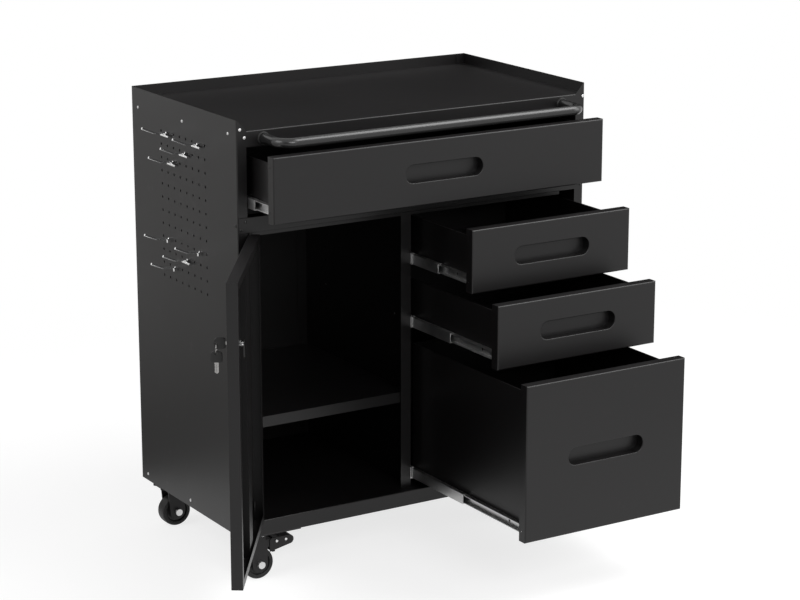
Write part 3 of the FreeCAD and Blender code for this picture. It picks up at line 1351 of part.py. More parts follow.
def casters():
    """Make four casters; the front two have a brake pedal."""
    for side_name, side in (("left", -1), ("right", 1)):
        for row_name, row in (("front", -1), ("rear", 1)):
            name = row_name + "_" + side_name + "_"
            braked = row < 0
            place_caster(caster_fork(name + "caster_fork", braked), side, row)
            lay_on_axis(caster_wheel(name + "caster_wheel"), side, row, caster_trail, wheel_radius)
            lay_on_axis(caster_axle(name + "caster_axle"), side, row, caster_trail, wheel_radius)
            if braked:
                place_caster(brake_pedal(name + "brake_pedal"), side, row)


def caster_mounting():
    """Make the doubling plates under the base's corners and the bolts that hold the casters."""
    plates = []
    bolts = []
    for side, row in CORNERS:
        outer_x = (half_width - support_side_margin) * side
        inner_x = (half_width - support_side_margin - support_length) * side
        outer_y = (half_depth - support_margin) * row
        inner_y = (half_depth - support_margin - support_depth) * row
        across = sorted([float(outer_x), float(inner_x)])
        along = sorted([float(outer_y), float(inner_y)])
        plate = block((across[0], along[0], plate_top), (across[1], along[1], floor_clearance))
        for x, y in bolt_places(caster_side_place * side, caster_depth_place * row):
            plate = plate.cut(rod(bolt_radius + fixed_play, (x, y, plate_top), (x, y, floor_clearance)))
            head = hexagon(bolt_head_width, (x, y, plate_low - bolt_head), (x, y, plate_low))
            bolts.append(head.fuse(rod(bolt_radius, (x, y, plate_low), (x, y, floor_clearance))))
        plates.append(plate)
    finished("caster_support_plates", Part.makeCompound(plates))
    finished("caster_bolts", Part.makeCompound(bolts))


back_panel()
worktop()
middle_rail()
base_pan()
centre_divider()
shelf()
shelf_clips()
push_handle()
handle_fixings()
all_screws()
pegboard_hooks()
for drawer_name, drawer_sizes in drawers.items():
    drawer_front(drawer_name, *drawer_sizes)
    drawer_tray(drawer_name, *drawer_sizes)
    drawer_slides(drawer_name, *drawer_sizes)
finished("slide_outer_members", Part.makeCompound(outer_members))
for swung in [door_panel(), door_stiffener()] + lock_and_keys():
    swing_open(swung)
hinge_pins()
casters()
caster_plates()
caster_mounting()

document.recompute()


def check_and_write():
    """Stop on any failed feature or bad solid, then write every piece to its own file."""
    for item in document.Objects:
        if "Invalid" in item.State or "Error" in item.State:
            holder = item.getParentGeoFeatureGroup()
            owner = holder.Label if holder else "the document"
            raise RuntimeError("%s of %s failed: %s" % (item.Name, owner, item.State))
    os.makedirs("parts", exist_ok=True)
    for label, piece in pieces.items():
        shape = piece.Shape
        if shape.isNull() or not shape.isValid() or not shape.Solids:
            raise RuntimeError("%s has no sound solid" % label)
        if shape.Volume <= 0:
            raise RuntimeError("%s is inside out" % label)
    for label, piece in pieces.items():
        piece.Shape.exportStep(os.path.join("parts", label + ".step"))
    print(len(pieces), "pieces written")


check_and_write()
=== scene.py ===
# %% [markdown]
# # Dressing a rolling tool cabinet
# The cabinet comes in as a finished frame: folded steel sheets, drawers on ball slides, a door
# that stands open and four swivel casters, each already at its real size and on its own body.
# This lesson gives every surface its finish and adds the small turned, bent and moulded pieces
# whose shape shows up close. Lengths are in metres. Seen from the front, x runs to the right,
# y to the back and z up.

# %% Load the frame
import json
import math

import bmesh
import bpy
import numpy as np
from mathutils import Euler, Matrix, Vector


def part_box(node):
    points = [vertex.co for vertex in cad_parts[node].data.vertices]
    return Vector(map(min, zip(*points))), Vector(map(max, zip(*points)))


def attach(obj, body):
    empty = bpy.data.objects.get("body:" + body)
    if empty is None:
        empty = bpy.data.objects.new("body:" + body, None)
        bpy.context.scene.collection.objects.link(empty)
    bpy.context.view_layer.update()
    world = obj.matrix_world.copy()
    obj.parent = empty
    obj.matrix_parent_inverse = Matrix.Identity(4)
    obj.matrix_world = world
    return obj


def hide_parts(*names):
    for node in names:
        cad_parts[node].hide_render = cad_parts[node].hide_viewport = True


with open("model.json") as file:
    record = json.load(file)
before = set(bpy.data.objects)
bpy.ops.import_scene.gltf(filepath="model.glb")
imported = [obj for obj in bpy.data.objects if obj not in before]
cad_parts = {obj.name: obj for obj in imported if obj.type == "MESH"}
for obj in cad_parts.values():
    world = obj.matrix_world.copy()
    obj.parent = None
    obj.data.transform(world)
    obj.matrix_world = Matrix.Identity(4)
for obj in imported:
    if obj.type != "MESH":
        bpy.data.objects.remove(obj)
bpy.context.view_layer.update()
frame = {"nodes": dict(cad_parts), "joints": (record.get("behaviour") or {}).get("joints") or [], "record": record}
nodes = frame["nodes"]
joints = {joint["name"]: joint for joint in frame["joints"]}
scene = bpy.context.scene
scene.view_settings.view_transform = "Standard"

# %% [markdown]
# ## The camera
# The photograph was taken with a long lens from the left, a little above the worktop. A camera
# fitted to the cabinet's corners gives its place, its two turns and its focal length in pixels.
# With a long lens the far edges stay nearly as long as the near ones, which is why the cabinet
# looks so square.

# %% Camera
camera_place = Vector((-2.3633, -3.9722, 1.6771))
camera_turn_right = math.radians(31.73)
camera_tilt_down = math.radians(14.81)
focal_length_in_pixels = 2431.4
picture_width_in_pixels = 800
camera_data = bpy.data.cameras.new("camera")
camera_data.sensor_width = 36.0
camera_data.lens = focal_length_in_pixels / picture_width_in_pixels * camera_data.sensor_width
camera = bpy.data.objects.new("camera", camera_data)
camera.location = camera_place
camera.rotation_euler = Euler((math.pi / 2 - camera_tilt_down, 0, -camera_turn_right))
scene.collection.objects.link(camera)
scene.camera = camera
print("lens", round(camera_data.lens, 1), "mm")

# %% [markdown]
# ## Writing shader maths as plain expressions
# A finish is a sum of small patterns. Wiring those by hand hides the idea, so one small class
# wraps a socket and lets ordinary signs build the Math nodes. A sum of plain numbers makes no
# node, because Python has worked it out before.

# %% Socket arithmetic


class Wire:
    """One output socket of a node tree, with the signs + - and * that build Math nodes."""

    def __init__(self, tree, socket):
        self.tree = tree
        self.socket = socket

    def maths(self, operation, first, second):
        """Add one Math node on two values, each a wire or a number."""
        node = self.tree.nodes.new("ShaderNodeMath")
        node.operation = operation
        for place, value in zip(node.inputs, (first, second)):
            if isinstance(value, Wire):
                self.tree.links.new(value.socket, place)
            else:
                place.default_value = value
        return Wire(self.tree, node.outputs[0])

    def __add__(self, other):
        return self.maths("ADD", self, other)

    __radd__ = __add__

    def __sub__(self, other):
        return self.maths("SUBTRACT", self, other)

    def __rsub__(self, other):
        return self.maths("SUBTRACT", other, self)

    def __mul__(self, other):
        return self.maths("MULTIPLY", self, other)

    __rmul__ = __mul__

    def ramp(self, low, high):
        """Give 0 at low, 1 at high, and between them t * t * (3 - 2 * t), a smooth rise."""
        node = self.tree.nodes.new("ShaderNodeMapRange")
        node.interpolation_type = "SMOOTHSTEP"
        self.tree.links.new(self.socket, node.inputs["Value"])
        node.inputs["From Min"].default_value = low
        node.inputs["From Max"].default_value = high
        return Wire(self.tree, node.outputs["Result"])


print("socket arithmetic ready")

# %% [markdown]
# ## A material in the making
# Every finish ends in the same Principled shader, and nearly all of its patterns are noise read
# at the point on the piece itself, so that a pattern stays put when the piece moves. A second
# class holds the node tree and adds a node in one call: its kind, its settings, then the values
# or wires of its sockets.

# %% Finishes


class Finish:
    """A material in the making: it adds any node by type and ends in one Principled shader."""

    def __init__(self, name):
        self.material = bpy.data.materials.new(name)
        self.material.use_nodes = True
        self.tree = self.material.node_tree
        self.shader = self.tree.nodes["Principled BSDF"]

    def feed(self, socket, value):
        """Link a wire to a socket, or write a number or a colour into it."""
        if isinstance(value, Wire):
            self.tree.links.new(value.socket, socket)
        else:
            socket.default_value = value

    def add(self, kind, settings=None, output=0, **values):
        """Add one node: its settings come first, then values or wires for its sockets.
        A socket goes by its name, or by i and its number where names repeat."""
        node = self.tree.nodes.new(kind)
        for name, value in (settings or {}).items():
            setattr(node, name, value)
        for name, value in values.items():
            numbered = name[1:].isdigit()
            self.feed(node.inputs[int(name[1:]) if numbered else name.replace("_", " ")], value)
        return Wire(self.tree, node.outputs[output])

    def places(self):
        """Give the point on the piece, in metres."""
        return self.add("ShaderNodeTexCoord", output=3)

    def stretched(self, x, y, z):
        """Give the point with each axis scaled, which draws a pattern out along the small ones."""
        return self.add("ShaderNodeMapping", {"vector_type": "POINT"},
                        Vector=self.places(), Scale=(x, y, z))

    def noise(self, size, detail=3.0, roughness=0.5, where=None):
        """Give a cloudy value from 0 to 1 whose blobs are about size metres across."""
        return self.add("ShaderNodeTexNoise", Vector=where or self.places(), Scale=1 / size,
                        Detail=detail, Roughness=roughness)

    def mix(self, factor, first, second):
        """Blend two colours: first * (1 - factor) + second * factor."""
        return self.add("ShaderNodeMix", {"data_type": "RGBA"}, output=2,
                        i0=factor, i6=first, i7=second)

    def bump(self, height, depth):
        """Turn a height pattern of a real depth in metres into a normal."""
        return self.add("ShaderNodeBump", Height=height, Distance=depth)

    def set(self, **values):
        """Set the shader's own sockets, to numbers or to wires, and give the material."""
        for name, value in values.items():
            self.feed(self.shader.inputs[name.replace("_", " ")], value)
        return self.material


def grey(level, warm=0.0):
    """Give a grey with a slight warm or cool lean: red rises by the share that blue falls."""
    return (level * (1 + warm), level, level * (1 - warm), 1)


print("finishes can be written")

# %% [markdown]
# ## Powder coat
# The sheets are sprayed with powder and baked. The melt leaves a fine orange peel, about one
# and a half millimetres from dimple to dimple, over a wavier skin, and the sheen changes a
# little from place to place. The coat itself is nearly black. Almost all that the eye sees on it
# is soft light mirrored at a shallow angle, so its gloss is kept low and its tone hardly counts.

# %% Powder coat
coat_shine = 0.36
dimple_size = 0.0016
wave_size = 0.05
drift_size = 0.25
rub_size = 0.03
peel_depth = 0.00004


def coat_tone(level):
    """Give the coat's near-black, which leans a little to a warm violet."""
    return (level * 1.07, level * 0.96, level, 1)


def powder_coat(name, level, roughness):
    """Dark satin powder coat: orange peel, slow waves, a faint drift of sheen and tone, and small
    places that hands and cloths have rubbed a little smoother and lighter. Height = 0.8 * dimples
    + 0.2 * waves, and roughness = base + 0.08 * drift + 0.04 * dimples - 0.07 * rubbed."""
    finish = Finish(name)
    dimples = finish.noise(dimple_size, 2.0)
    waves = finish.noise(wave_size, 2.0)
    drift = finish.noise(drift_size, 3.0)
    rubbed = finish.noise(rub_size, 5.0, 0.65).ramp(0.6, 0.8)
    tone = finish.mix(drift * 0.7 + 0.15, coat_tone(level * 0.88), coat_tone(level * 1.12))
    tone = finish.mix(rubbed, tone, coat_tone(level * 1.8))
    height = dimples * 0.8 + waves * 0.2
    sheen = drift * 0.08 + dimples * 0.04 - rubbed * 0.07
    return finish.set(Base_Color=tone, Roughness=sheen + (roughness - 0.03),
                      Specular_IOR_Level=coat_shine, Normal=finish.bump(height, peel_depth))


sheet_coat = powder_coat("black_powder_coat", 0.0045, 0.34)
caster_coat = powder_coat("caster_coat", 0.006, 0.46)
print("powder coats ready")

# %% [markdown]
# ## Gloss paint, plastic and rubber
# The push handle is sprayed wet, so it flows out smoother and shines more. The rings at its
# legs, the grips of the keys and the wheels are moulded, with a fine grain in place of the peel.

# %% Gloss paint, plastic and rubber
ripple_size = 0.03
ripple_depth = 0.00006
dust_size = 0.0012
smudge_size = 0.02
grain_depth = 0.00003


def gloss_paint(name, level):
    """Smooth dark paint over the faintest ripple: roughness = 0.2 + 0.05 * ripple
    + 0.04 * dust."""
    finish = Finish(name)
    ripple = finish.noise(ripple_size, 2.0)
    dust = finish.noise(dust_size, 1.0)
    return finish.set(Base_Color=finish.mix(ripple, grey(level), grey(level * 1.3)),
                      Roughness=ripple * 0.05 + dust * 0.04 + 0.2, Specular_IOR_Level=0.5,
                      Normal=finish.bump(ripple, ripple_depth))


def moulded(name, level, roughness, grain):
    """Moulded plastic or rubber: a fine grain and a slow smudge, with a roughness near one value,
    which is base + 0.12 * grain + 0.1 * smudge."""
    finish = Finish(name)
    speckle = finish.noise(grain, 3.0, 0.6)
    smudge = finish.noise(smudge_size, 3.0)
    tone = finish.mix(smudge, grey(level * 0.8), grey(level * 1.3, 0.02))
    return finish.set(Base_Color=tone, Specular_IOR_Level=0.3,
                      Roughness=speckle * 0.12 + smudge * 0.1 + (roughness - 0.1),
                      Normal=finish.bump(speckle, grain_depth))


handle_paint = gloss_paint("gloss_black_tube", 0.012)
black_plastic = moulded("black_plastic", 0.016, 0.45, 0.0006)
black_tread = moulded("black_tread", 0.018, 0.5, 0.0009)
wheel_core = moulded("wheel_core", 0.03, 0.4, 0.0007)
print("paint, plastic and rubber ready")

# %% [markdown]
# ## Zinc, chrome and nickel
# The slides and screws are zinc plated: bright, a little cloudy, with fine lines along the
# rolling direction. The hooks and the core of the lock are chromed and mirror the room. The keys
# and their ring are nickel, which is warmer and duller. The lock's housing, nut and cam are
# blackened zinc, which is the same finish at a much lower level.

# %% Zinc, chrome and nickel
rolling_line_size = 0.0006
rolling_line_depth = 0.00002
cloud_size = 0.018
haze_size = 0.006
pit_size = 0.0008
pit_depth = 0.00001
rolled_along_y = (1.0, 0.04, 1.0)
not_rolled = (1.0, 1.0, 1.0)


def zinc(name, level, stretch):
    """Zinc plate: rolling lines drawn out along the axis whose scale is small, and a cloudy sheen.
    Roughness = 0.2 + 0.14 * lines + 0.16 * cloud."""
    finish = Finish(name)
    rolled = finish.noise(rolling_line_size, 3.0, where=finish.stretched(*stretch))
    cloud = finish.noise(cloud_size, 4.0)
    tone = finish.mix(cloud, grey(level * 0.82, -0.01), grey(level * 1.1, 0.012))
    return finish.set(Base_Color=tone, Metallic=1.0,
                      Roughness=rolled * 0.14 + cloud * 0.16 + 0.2,
                      Normal=finish.bump(rolled, rolling_line_depth))


def polished(name, level, warm, haze_depth):
    """Plated mirror: a trace of haze in its tone and sheen, and tiny pits. Roughness = 0.06
    + haze depth * haze."""
    finish = Finish(name)
    haze = finish.noise(haze_size, 3.0)
    tone = finish.mix(haze, grey(level * 0.92, warm), grey(level, warm))
    return finish.set(Base_Color=tone, Metallic=1.0, Roughness=haze * haze_depth + 0.06,
                      Normal=finish.bump(finish.noise(pit_size, 2.0), pit_depth))


slide_zinc = zinc("slide_zinc", 0.62, rolled_along_y)
screw_zinc = zinc("screw_zinc", 0.72, not_rolled)
black_zinc = zinc("black_zinc", 0.06, not_rolled)
bright_chrome = polished("bright_chrome", 0.8, 0.0, 0.1)
key_nickel = polished("key_nickel", 0.34, 0.02, 0.5)
print("metals ready")

# %% [markdown]
# ## Dressing the frame's own pieces
# Each piece of the frame carries the name of its material slot, so one table turns a slot into
# a finish. A few small pieces differ from the rest of their slot: the rail's screws, the hinge
# pins and most of the lock are blackened, and a screw isn't rolled lengthwise as a slide is. A
# second table names them, and it is asked first.

# %% Give the frame's own nodes their finishes
finish_of_slot = {
    "black_powder_coat": sheet_coat, "gloss_black_tube": handle_paint,
    "black_caster_steel": caster_coat, "zinc_plate": slide_zinc,
    "bright_chrome": bright_chrome, "key_steel": key_nickel,
    "black_plastic": black_plastic, "black_tread": black_tread}
finish_of_node = {
    "rail_screws": black_zinc, "panel_screws": screw_zinc, "hinge_pins": black_zinc,
    "lock_nut": black_zinc, "lock_cam": black_zinc, "lock_housing": black_zinc}
for row in frame["record"]["subparts"]:
    coat = finish_of_node.get(row["node"]) or finish_of_slot[row["material_slot"]]
    materials = nodes[row["node"]].data.materials
    materials.clear()
    materials.append(coat)
print("finishes on", len(nodes), "nodes")

# %% [markdown]
# ## Surfaces from formulas
# Every new piece is a surface worked out as arrays. A shape is a grid of points: one parameter
# runs along it and the other runs round it. Where a parameter comes back to its start the grid
# is closed, so the seam has no gap. One helper joins neighbouring grid points into faces, and
# another collects the grids of one piece, merges the points that meet, and turns every face
# outwards.

# %% Grids of points and the pieces made from them
mm = 0.001
sharp_angle = math.radians(38)
merge_distance = 2e-6


def grid(points, close_rows=False, close_columns=False):
    """Join a grid of points into four-sided faces. Face (i, j) has the corners (i, j), (i, j + 1),
    (i + 1, j + 1) and (i + 1, j), and a closed direction joins its last points to its first."""
    rows, columns = points.shape[:2]
    row = np.arange(rows if close_rows else rows - 1)
    column = np.arange(columns if close_columns else columns - 1)
    row, column = np.meshgrid(row, column, indexing="ij")
    next_row = (row + 1) % rows
    next_column = (column + 1) % columns
    faces = np.stack([row * columns + column, row * columns + next_column,
                      next_row * columns + next_column, next_row * columns + column], axis=-1)
    return points.reshape(-1, 3), faces.reshape(-1, 4)


def piece(name, grids, finish, body, stands_for=()):
    """Make one object from its grids, give it its finish and its body, and hide the frame's nodes that it stands
    for. Face numbers are shifted by the points that came before their grid."""
    counts = [len(points) for points, faces in grids]
    shifts = np.cumsum([0] + counts[:-1])
    all_points = np.concatenate([points for points, faces in grids])
    all_faces = np.concatenate([faces + shift for (points, faces), shift in zip(grids, shifts)])
    mesh = bpy.data.meshes.new(name)
    mesh.from_pydata(all_points.tolist(), [], all_faces.tolist())
    work = bmesh.new()
    work.from_mesh(mesh)
    bmesh.ops.remove_doubles(work, verts=work.verts, dist=merge_distance)
    bmesh.ops.dissolve_degenerate(work, edges=work.edges, dist=merge_distance)
    bmesh.ops.recalc_face_normals(work, faces=work.faces)
    work.to_mesh(mesh)
    work.free()
    mesh.shade_smooth()
    mesh.set_sharp_from_angle(angle=sharp_angle)
    mesh.materials.append(finish)
    item = bpy.data.objects.new(name, mesh)
    scene.collection.objects.link(item)
    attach(item, body)
    if stands_for:
        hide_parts(*stands_for)


print("grids and pieces ready")

# %% [markdown]
# ## Turning a profile
# Most small metal pieces come off a lathe or out of a round die, so a profile carried once
# round an axis makes them. A real edge is never knife sharp, and a rounded one catches a thin
# line of light, so a profile's corners are rounded before it is turned.

# %% Turned profiles and rounded corners


def across(axis):
    """Give two unit directions square to an axis: u = helper x axis, and v = axis x u."""
    axis = np.asarray(axis, float)
    helper = np.array((0, 0, 1.0)) if abs(axis[2]) < 0.9 else np.array((1.0, 0, 0))
    u = np.cross(helper, axis)
    u /= np.linalg.norm(u)
    return u, np.cross(axis, u)


def turned(profile, place, axis, sides, closed=False):
    """Revolve a profile of radius and height about an axis:
    point = place + height * axis + radius * (cos a * u + sin a * v)."""
    profile = np.asarray(profile, float)
    axis = np.asarray(axis, float)
    u, v = across(axis)
    angle = np.linspace(0, 2 * np.pi, sides, endpoint=False)[None, :, None]
    radius = profile[:, 0][:, None, None]
    height = profile[:, 1][:, None, None]
    points = (np.asarray(place, float) + height * axis
              + radius * (np.cos(angle) * u + np.sin(angle) * v))
    return grid(points, close_rows=closed, close_columns=True)


def rounded(corners, radius, steps=4, closed=False):
    """Round the corners of a path in a plane: each corner becomes a curve between the points one
    radius before it and one radius after it, blended as (1-t)^2 before + 2t(1-t) corner
    + t^2 after. The radius never takes more than 0.45 of a side."""
    corners = np.asarray(corners, float)
    before = np.roll(corners, 1, axis=0)
    after = np.roll(corners, -1, axis=0)
    length_before = np.linalg.norm(corners - before, axis=1)[:, None]
    length_after = np.linalg.norm(after - corners, axis=1)[:, None]
    reach = np.minimum(radius, 0.45 * np.minimum(length_before, length_after))
    start = corners + (before - corners) / length_before * reach
    end = corners + (after - corners) / length_after * reach
    t = np.linspace(0, 1, steps)[None, :, None]
    curve = ((1 - t) ** 2 * start[:, None] + 2 * t * (1 - t) * corners[:, None]
             + t ** 2 * end[:, None])
    path = curve.reshape(-1, 2)
    if not closed:
        path = np.concatenate([corners[:1], path[steps:-steps], corners[-1:]])
    return path


print("turning and rounding ready")

# %% [markdown]
# ## Screws with a cross recess
# The sides and flanges are held by small pan-head screws. A head is a shallow dome: its height
# falls from the middle as the square root of one minus the square of the radius. The driver's
# cross is pressed into it, so the height drops where a point lies near either arm. Both are one
# formula on a polar grid, and the same grid is laid at every screw's place.

# %% Shape of a screw head
head_radius = 0.0028
head_height = 0.0016
rim_share = 0.45
arm_length = 0.0017
arm_half_width = 0.00042
arm_side_slope = 0.00018
arm_end_slope = 0.0005
recess_depth = 0.0010


def screw_head(place, outward):
    """Pan head on a polar grid. Height = head height * (rim + (1 - rim) * sqrt(1 - r^2))
    - depth * cross, where the cross is 1 near either arm and falls off at its sides and ends."""
    place = np.asarray(place, float)
    outward = np.asarray(outward, float)
    u, v = across(outward)
    angle = np.linspace(0, 2 * np.pi, 48, endpoint=False)[None, :]
    share = np.sin(np.linspace(0, np.pi / 2, 16))[:, None]
    x = share * np.cos(angle)
    y = share * np.sin(angle)
    dome = rim_share + (1 - rim_share) * np.sqrt(np.clip(1 - share ** 2, 0, 1))
    off_arm = np.minimum(np.abs(x), np.abs(y)) * head_radius
    along_arm = np.maximum(np.abs(x), np.abs(y)) * head_radius
    side = np.clip((arm_half_width - off_arm) / arm_side_slope + 0.5, 0, 1)
    end = np.clip((arm_length - along_arm) / arm_end_slope + 0.5, 0, 1)
    height = head_height * dome - recess_depth * side * end
    points = (place + height[..., None] * outward
              + head_radius * (x[..., None] * u + y[..., None] * v))
    seat = place + head_radius * (np.cos(angle)[..., None] * u + np.sin(angle)[..., None] * v)
    middle = np.broadcast_to(place, seat.shape)
    return grid(np.concatenate([points, seat, middle]), close_columns=True)


print("screw head", round(2 * head_radius / mm, 1), "mm across")

# %% [markdown]
# The places are those of the frame's own screws. Each side has five zinc screws and one black
# one, the front flanges have three zinc ones between them, and the middle rail's tabs have two
# black ones at either end.

# %% Lay a head on every screw
side_face = 380 * mm
flange_face = -212.5 * mm
tab_face = flange_face - 1.2 * mm
side_screws_y_z = [(185.5, 847.0), (0.0, 849.4), (-180.8, 855.8), (184.7, 110.0), (0.0, 110.0)]
flange_screws_x_z = [(-373.1, 866.7), (-364.1, 851.4), (375.5, 858.5)]
tab_screws_x_z = [(374.2, 684.5), (363.8, 697.9)]
rail_side_screw_y_z = (-204.2, 690.0)
both_sides = (-1, 1)


def side_head(side, y, z):
    """Give a head on the outer face of the left (-1) or right (1) side, from millimetres:
    place = (side * side face, y, z)."""
    return screw_head((side * side_face, y * mm, z * mm), (side, 0, 0))


def front_head(x, face, z):
    """Give a head on a face that looks forwards, from millimetres: place = (x, face, z)."""
    return screw_head((x * mm, face, z * mm), (0, -1, 0))


zinc_heads = [side_head(side, y, z) for side in both_sides for y, z in side_screws_y_z]
zinc_heads += [front_head(x, flange_face, z) for x, z in flange_screws_x_z]
black_heads = [front_head(side * x, tab_face, z)
               for side in both_sides for x, z in tab_screws_x_z]
black_heads += [side_head(side, *rail_side_screw_y_z) for side in both_sides]
piece("panel_screw_heads", zinc_heads, screw_zinc, "cabinet", ["panel_screws"])
piece("rail_screw_heads", black_heads, black_zinc, "cabinet", ["rail_screws"])
print(len(zinc_heads), "zinc and", len(black_heads), "black screw heads")

# %% [markdown]
# ## Rings at the handle's legs
# Each leg of the push handle ends in a moulded ring against the header. A turned ring with
# softly rounded edges is a small closed profile carried once round the leg.

# %% Rings at the handle's legs
leg_radius = 9.55 * mm
ring_taper = 1.5 * mm
ring_edge = 1.2 * mm
collars_low, collars_high = (np.array(corner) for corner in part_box("handle_collars"))
ring_radius = (collars_high[2] - collars_low[2]) / 2
ring_thick = flange_face - collars_low[1]
ring_level = (collars_low[2] + collars_high[2]) / 2
ring_profile = rounded([(leg_radius, 0), (ring_radius, 0), (ring_radius - ring_taper, ring_thick),
                        (leg_radius, ring_thick)], ring_edge, closed=True)
rings = [turned(ring_profile, (side * (collars_high[0] - ring_radius), flange_face, ring_level),
                (0, -1, 0), sides=48, closed=True) for side in both_sides]
piece("handle_rings", rings, black_plastic, "cabinet", ["handle_collars"])
print("rings", round(ring_radius / mm, 1), "mm in radius")

# %% [markdown]
# ## Wheels
# A caster's wheel is a hard tyre on a dished core with a hub. The tyre's section is a rounded
# rectangle: a curve whose two coordinates are cosine and sine raised to a power under one,
# which squares a circle up. The core is a closed profile with a thin web between rim and hub.

# %% Wheels
tyre_middle = 26.6 * mm
tyre_half = 3.9 * mm
tread_half = 12.5 * mm
squareness = 0.42
core_edge = 0.8 * mm
core_half_profile_mm = [(4.05, 14.0), (8.4, 14.0), (9.0, 8.4), (10.4, 7.4),
                        (20.6, 7.4), (22.2, 8.6), (22.6, 12.2), (24.2, 12.2)]
axle_way = (0, 1, 0)


def squared_wave(wave):
    """Give sgn(wave) * |wave|^k, which squares a circle up when k is under one."""
    return np.sign(wave) * np.abs(wave) ** squareness


def tyre(place):
    """Tyre: section point = (middle + half * squared cosine, width * squared sine)."""
    turn = np.linspace(0, 2 * np.pi, 40, endpoint=False)
    radius = tyre_middle + tyre_half * squared_wave(np.cos(turn))
    side = tread_half * squared_wave(np.sin(turn))
    return turned(np.stack([radius, side], axis=1), place, axle_way, sides=96, closed=True)


def core(place):
    """Core: bore, hub, web and rim as one closed profile, the same on both sides."""
    side = np.array(core_half_profile_mm) * mm
    other = side[::-1] * (1, -1)
    profile = rounded(np.concatenate([side, other]), core_edge, closed=True)
    return turned(profile, place, axle_way, sides=64, closed=True)


caster_corners = ["front_left", "front_right", "rear_left", "rear_right"]
for corner in caster_corners:
    middle = joints[corner + "_roll"]["pos_m"]
    wheel_node = corner + "_caster_wheel"
    for name, shape, finish in (("_tyre", tyre, black_tread), ("_wheel_core", core, wheel_core)):
        piece(corner + name, [shape(middle)], finish, corner + "_wheel",
              [wheel_node])
print(len(caster_corners), "wheels")

# %% [markdown]
# ## Axle bolts and rivets
# The axle's heads are bright turned discs with a rounded edge and a shallow hollow. The brake
# pedal hangs on a riveted pin and has a second rivet further out. Each is a short profile
# turned about its own axis.

# %% Axle bolts
axle_low, axle_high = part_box("front_left_caster_axle")
axle_end = (axle_high[1] - axle_low[1]) / 2
cheek_face = 17.05 * mm
axle_head_radius = 7.0 * mm
axle_shank_radius = 4.0 * mm
axle_edge = 0.5 * mm
hollow_radius_and_depth_mm = [(0, 0.25), (5.4, 0.1), (5.8, 0)]


def axle(place):
    """Axle: a shank with a flat round head, which has a rounded edge and a shallow hollow in its
    middle, the same on both sides. The profile goes out along the hollow and back to the shank."""
    half = [(radius * mm, axle_end - depth * mm) for radius, depth in hollow_radius_and_depth_mm]
    half += [(axle_head_radius, axle_end), (axle_head_radius, cheek_face),
             (axle_shank_radius, cheek_face)]
    profile = np.array(half + [(radius, -height) for radius, height in half[::-1]])
    return turned(rounded(profile, axle_edge), place, axle_way, sides=48)


for corner in caster_corners:
    piece(corner + "_axle_bolt", [axle(joints[corner + "_roll"]["pos_m"])], screw_zinc,
          corner + "_caster", [corner + "_caster_axle"])
print("axle bolts", round(2 * axle_end / mm, 1), "mm long")

# %% [markdown]
# The pin's caps stay with the caster's fork and the second rivet rides on the pedal, so that it
# goes down with the pedal when the brake is pressed.

# %% Rivets of the brake pedals
pin_face = 19.1 * mm
pin_cap_radius = 3.2 * mm
pin_cap_height = 1.7 * mm
pedal_face = 18.8 * mm
rivet_inwards = 20.0 * mm
rivet_radius = 2.8 * mm
rivet_height = 1.4 * mm


def rivet(place, outward, radius, height):
    """Rivet: a dome whose height is a quarter plus three quarters of the cosine of the way out,
    and a flat seat."""
    way = np.linspace(0, np.pi / 2, 10)
    profile = np.stack([radius * np.sin(way), height * (0.25 + 0.75 * np.cos(way))], axis=1)
    profile = np.concatenate([profile, [(radius, 0), (0, 0)]])
    return turned(profile, place, outward, sides=28)


for corner in ("front_left", "front_right"):
    pivot = np.array(joints[corner + "_brake"]["pos_m"])
    inwards = -np.sign(pivot[0])
    pin_caps = [rivet(pivot + (0, side * pin_face, 0), (0, side, 0), pin_cap_radius, pin_cap_height)
                for side in both_sides]
    piece(corner + "_pin_caps", pin_caps, screw_zinc, corner + "_caster")
    outer = [rivet(pivot + (inwards * rivet_inwards, side * pedal_face, 0), (0, side, 0),
                   rivet_radius, rivet_height) for side in both_sides]
    piece(corner + "_pedal_rivets", outer, screw_zinc, corner + "_pedal")
print("pin caps and rivets on two pedals")

# %% [markdown]
# ## Keys
# A key has a flat nickel blade with cuts along one edge, and a moulded grip with a hole for the
# ring. The grip is one surface between two loops: the hole and the outline. For each direction
# the section runs out on one side, round the rim and back on the other, so the hole and the rim
# are both rounded. The outline is a circle that is squared up towards the blade.

# %% Key grips
grip_reach = 10.0 * mm
grip_half_thick = 2.2 * mm
grip_hole_radius = 2.4 * mm
hole_off_middle = 5.8 * mm
grip_section = rounded([(0, -1), (1, -1), (1, 1), (0, 1)], 0.18, steps=5, closed=True)


def unit(values):
    """Give the direction of a vector: each part over the length."""
    values = np.asarray(values, float)
    return values / np.linalg.norm(values)


def key_grip(hole, towards_hole, side, squared):
    """Grip: point = hole loop + share * (outline - hole loop), with the share and the height taken
    from a rounded rectangle. Outline radius = (|cos|^n + |sin|^n)^(-1/n), where n grows towards
    the blade."""
    wide = unit(np.cross(side, towards_hole))
    centre = hole - towards_hole * hole_off_middle
    angle = np.linspace(0, 2 * np.pi, 64, endpoint=False)
    cosine, sine = np.cos(angle), np.sin(angle)
    power = 2.1 + squared * (1 - cosine) / 2
    radius = grip_reach * (np.abs(cosine) ** power + np.abs(sine) ** power) ** (-1 / power)
    ray = cosine[:, None] * towards_hole + sine[:, None] * wide
    outline = centre + radius[:, None] * ray
    loop = hole + grip_hole_radius * ray
    share = grip_section[:, 0][:, None, None]
    height = grip_section[:, 1][:, None, None] * grip_half_thick
    points = loop + share * (outline - loop) + height * side
    return grid(points, close_rows=True, close_columns=True)


print("grips", round(2 * grip_half_thick / mm, 1), "mm thick")

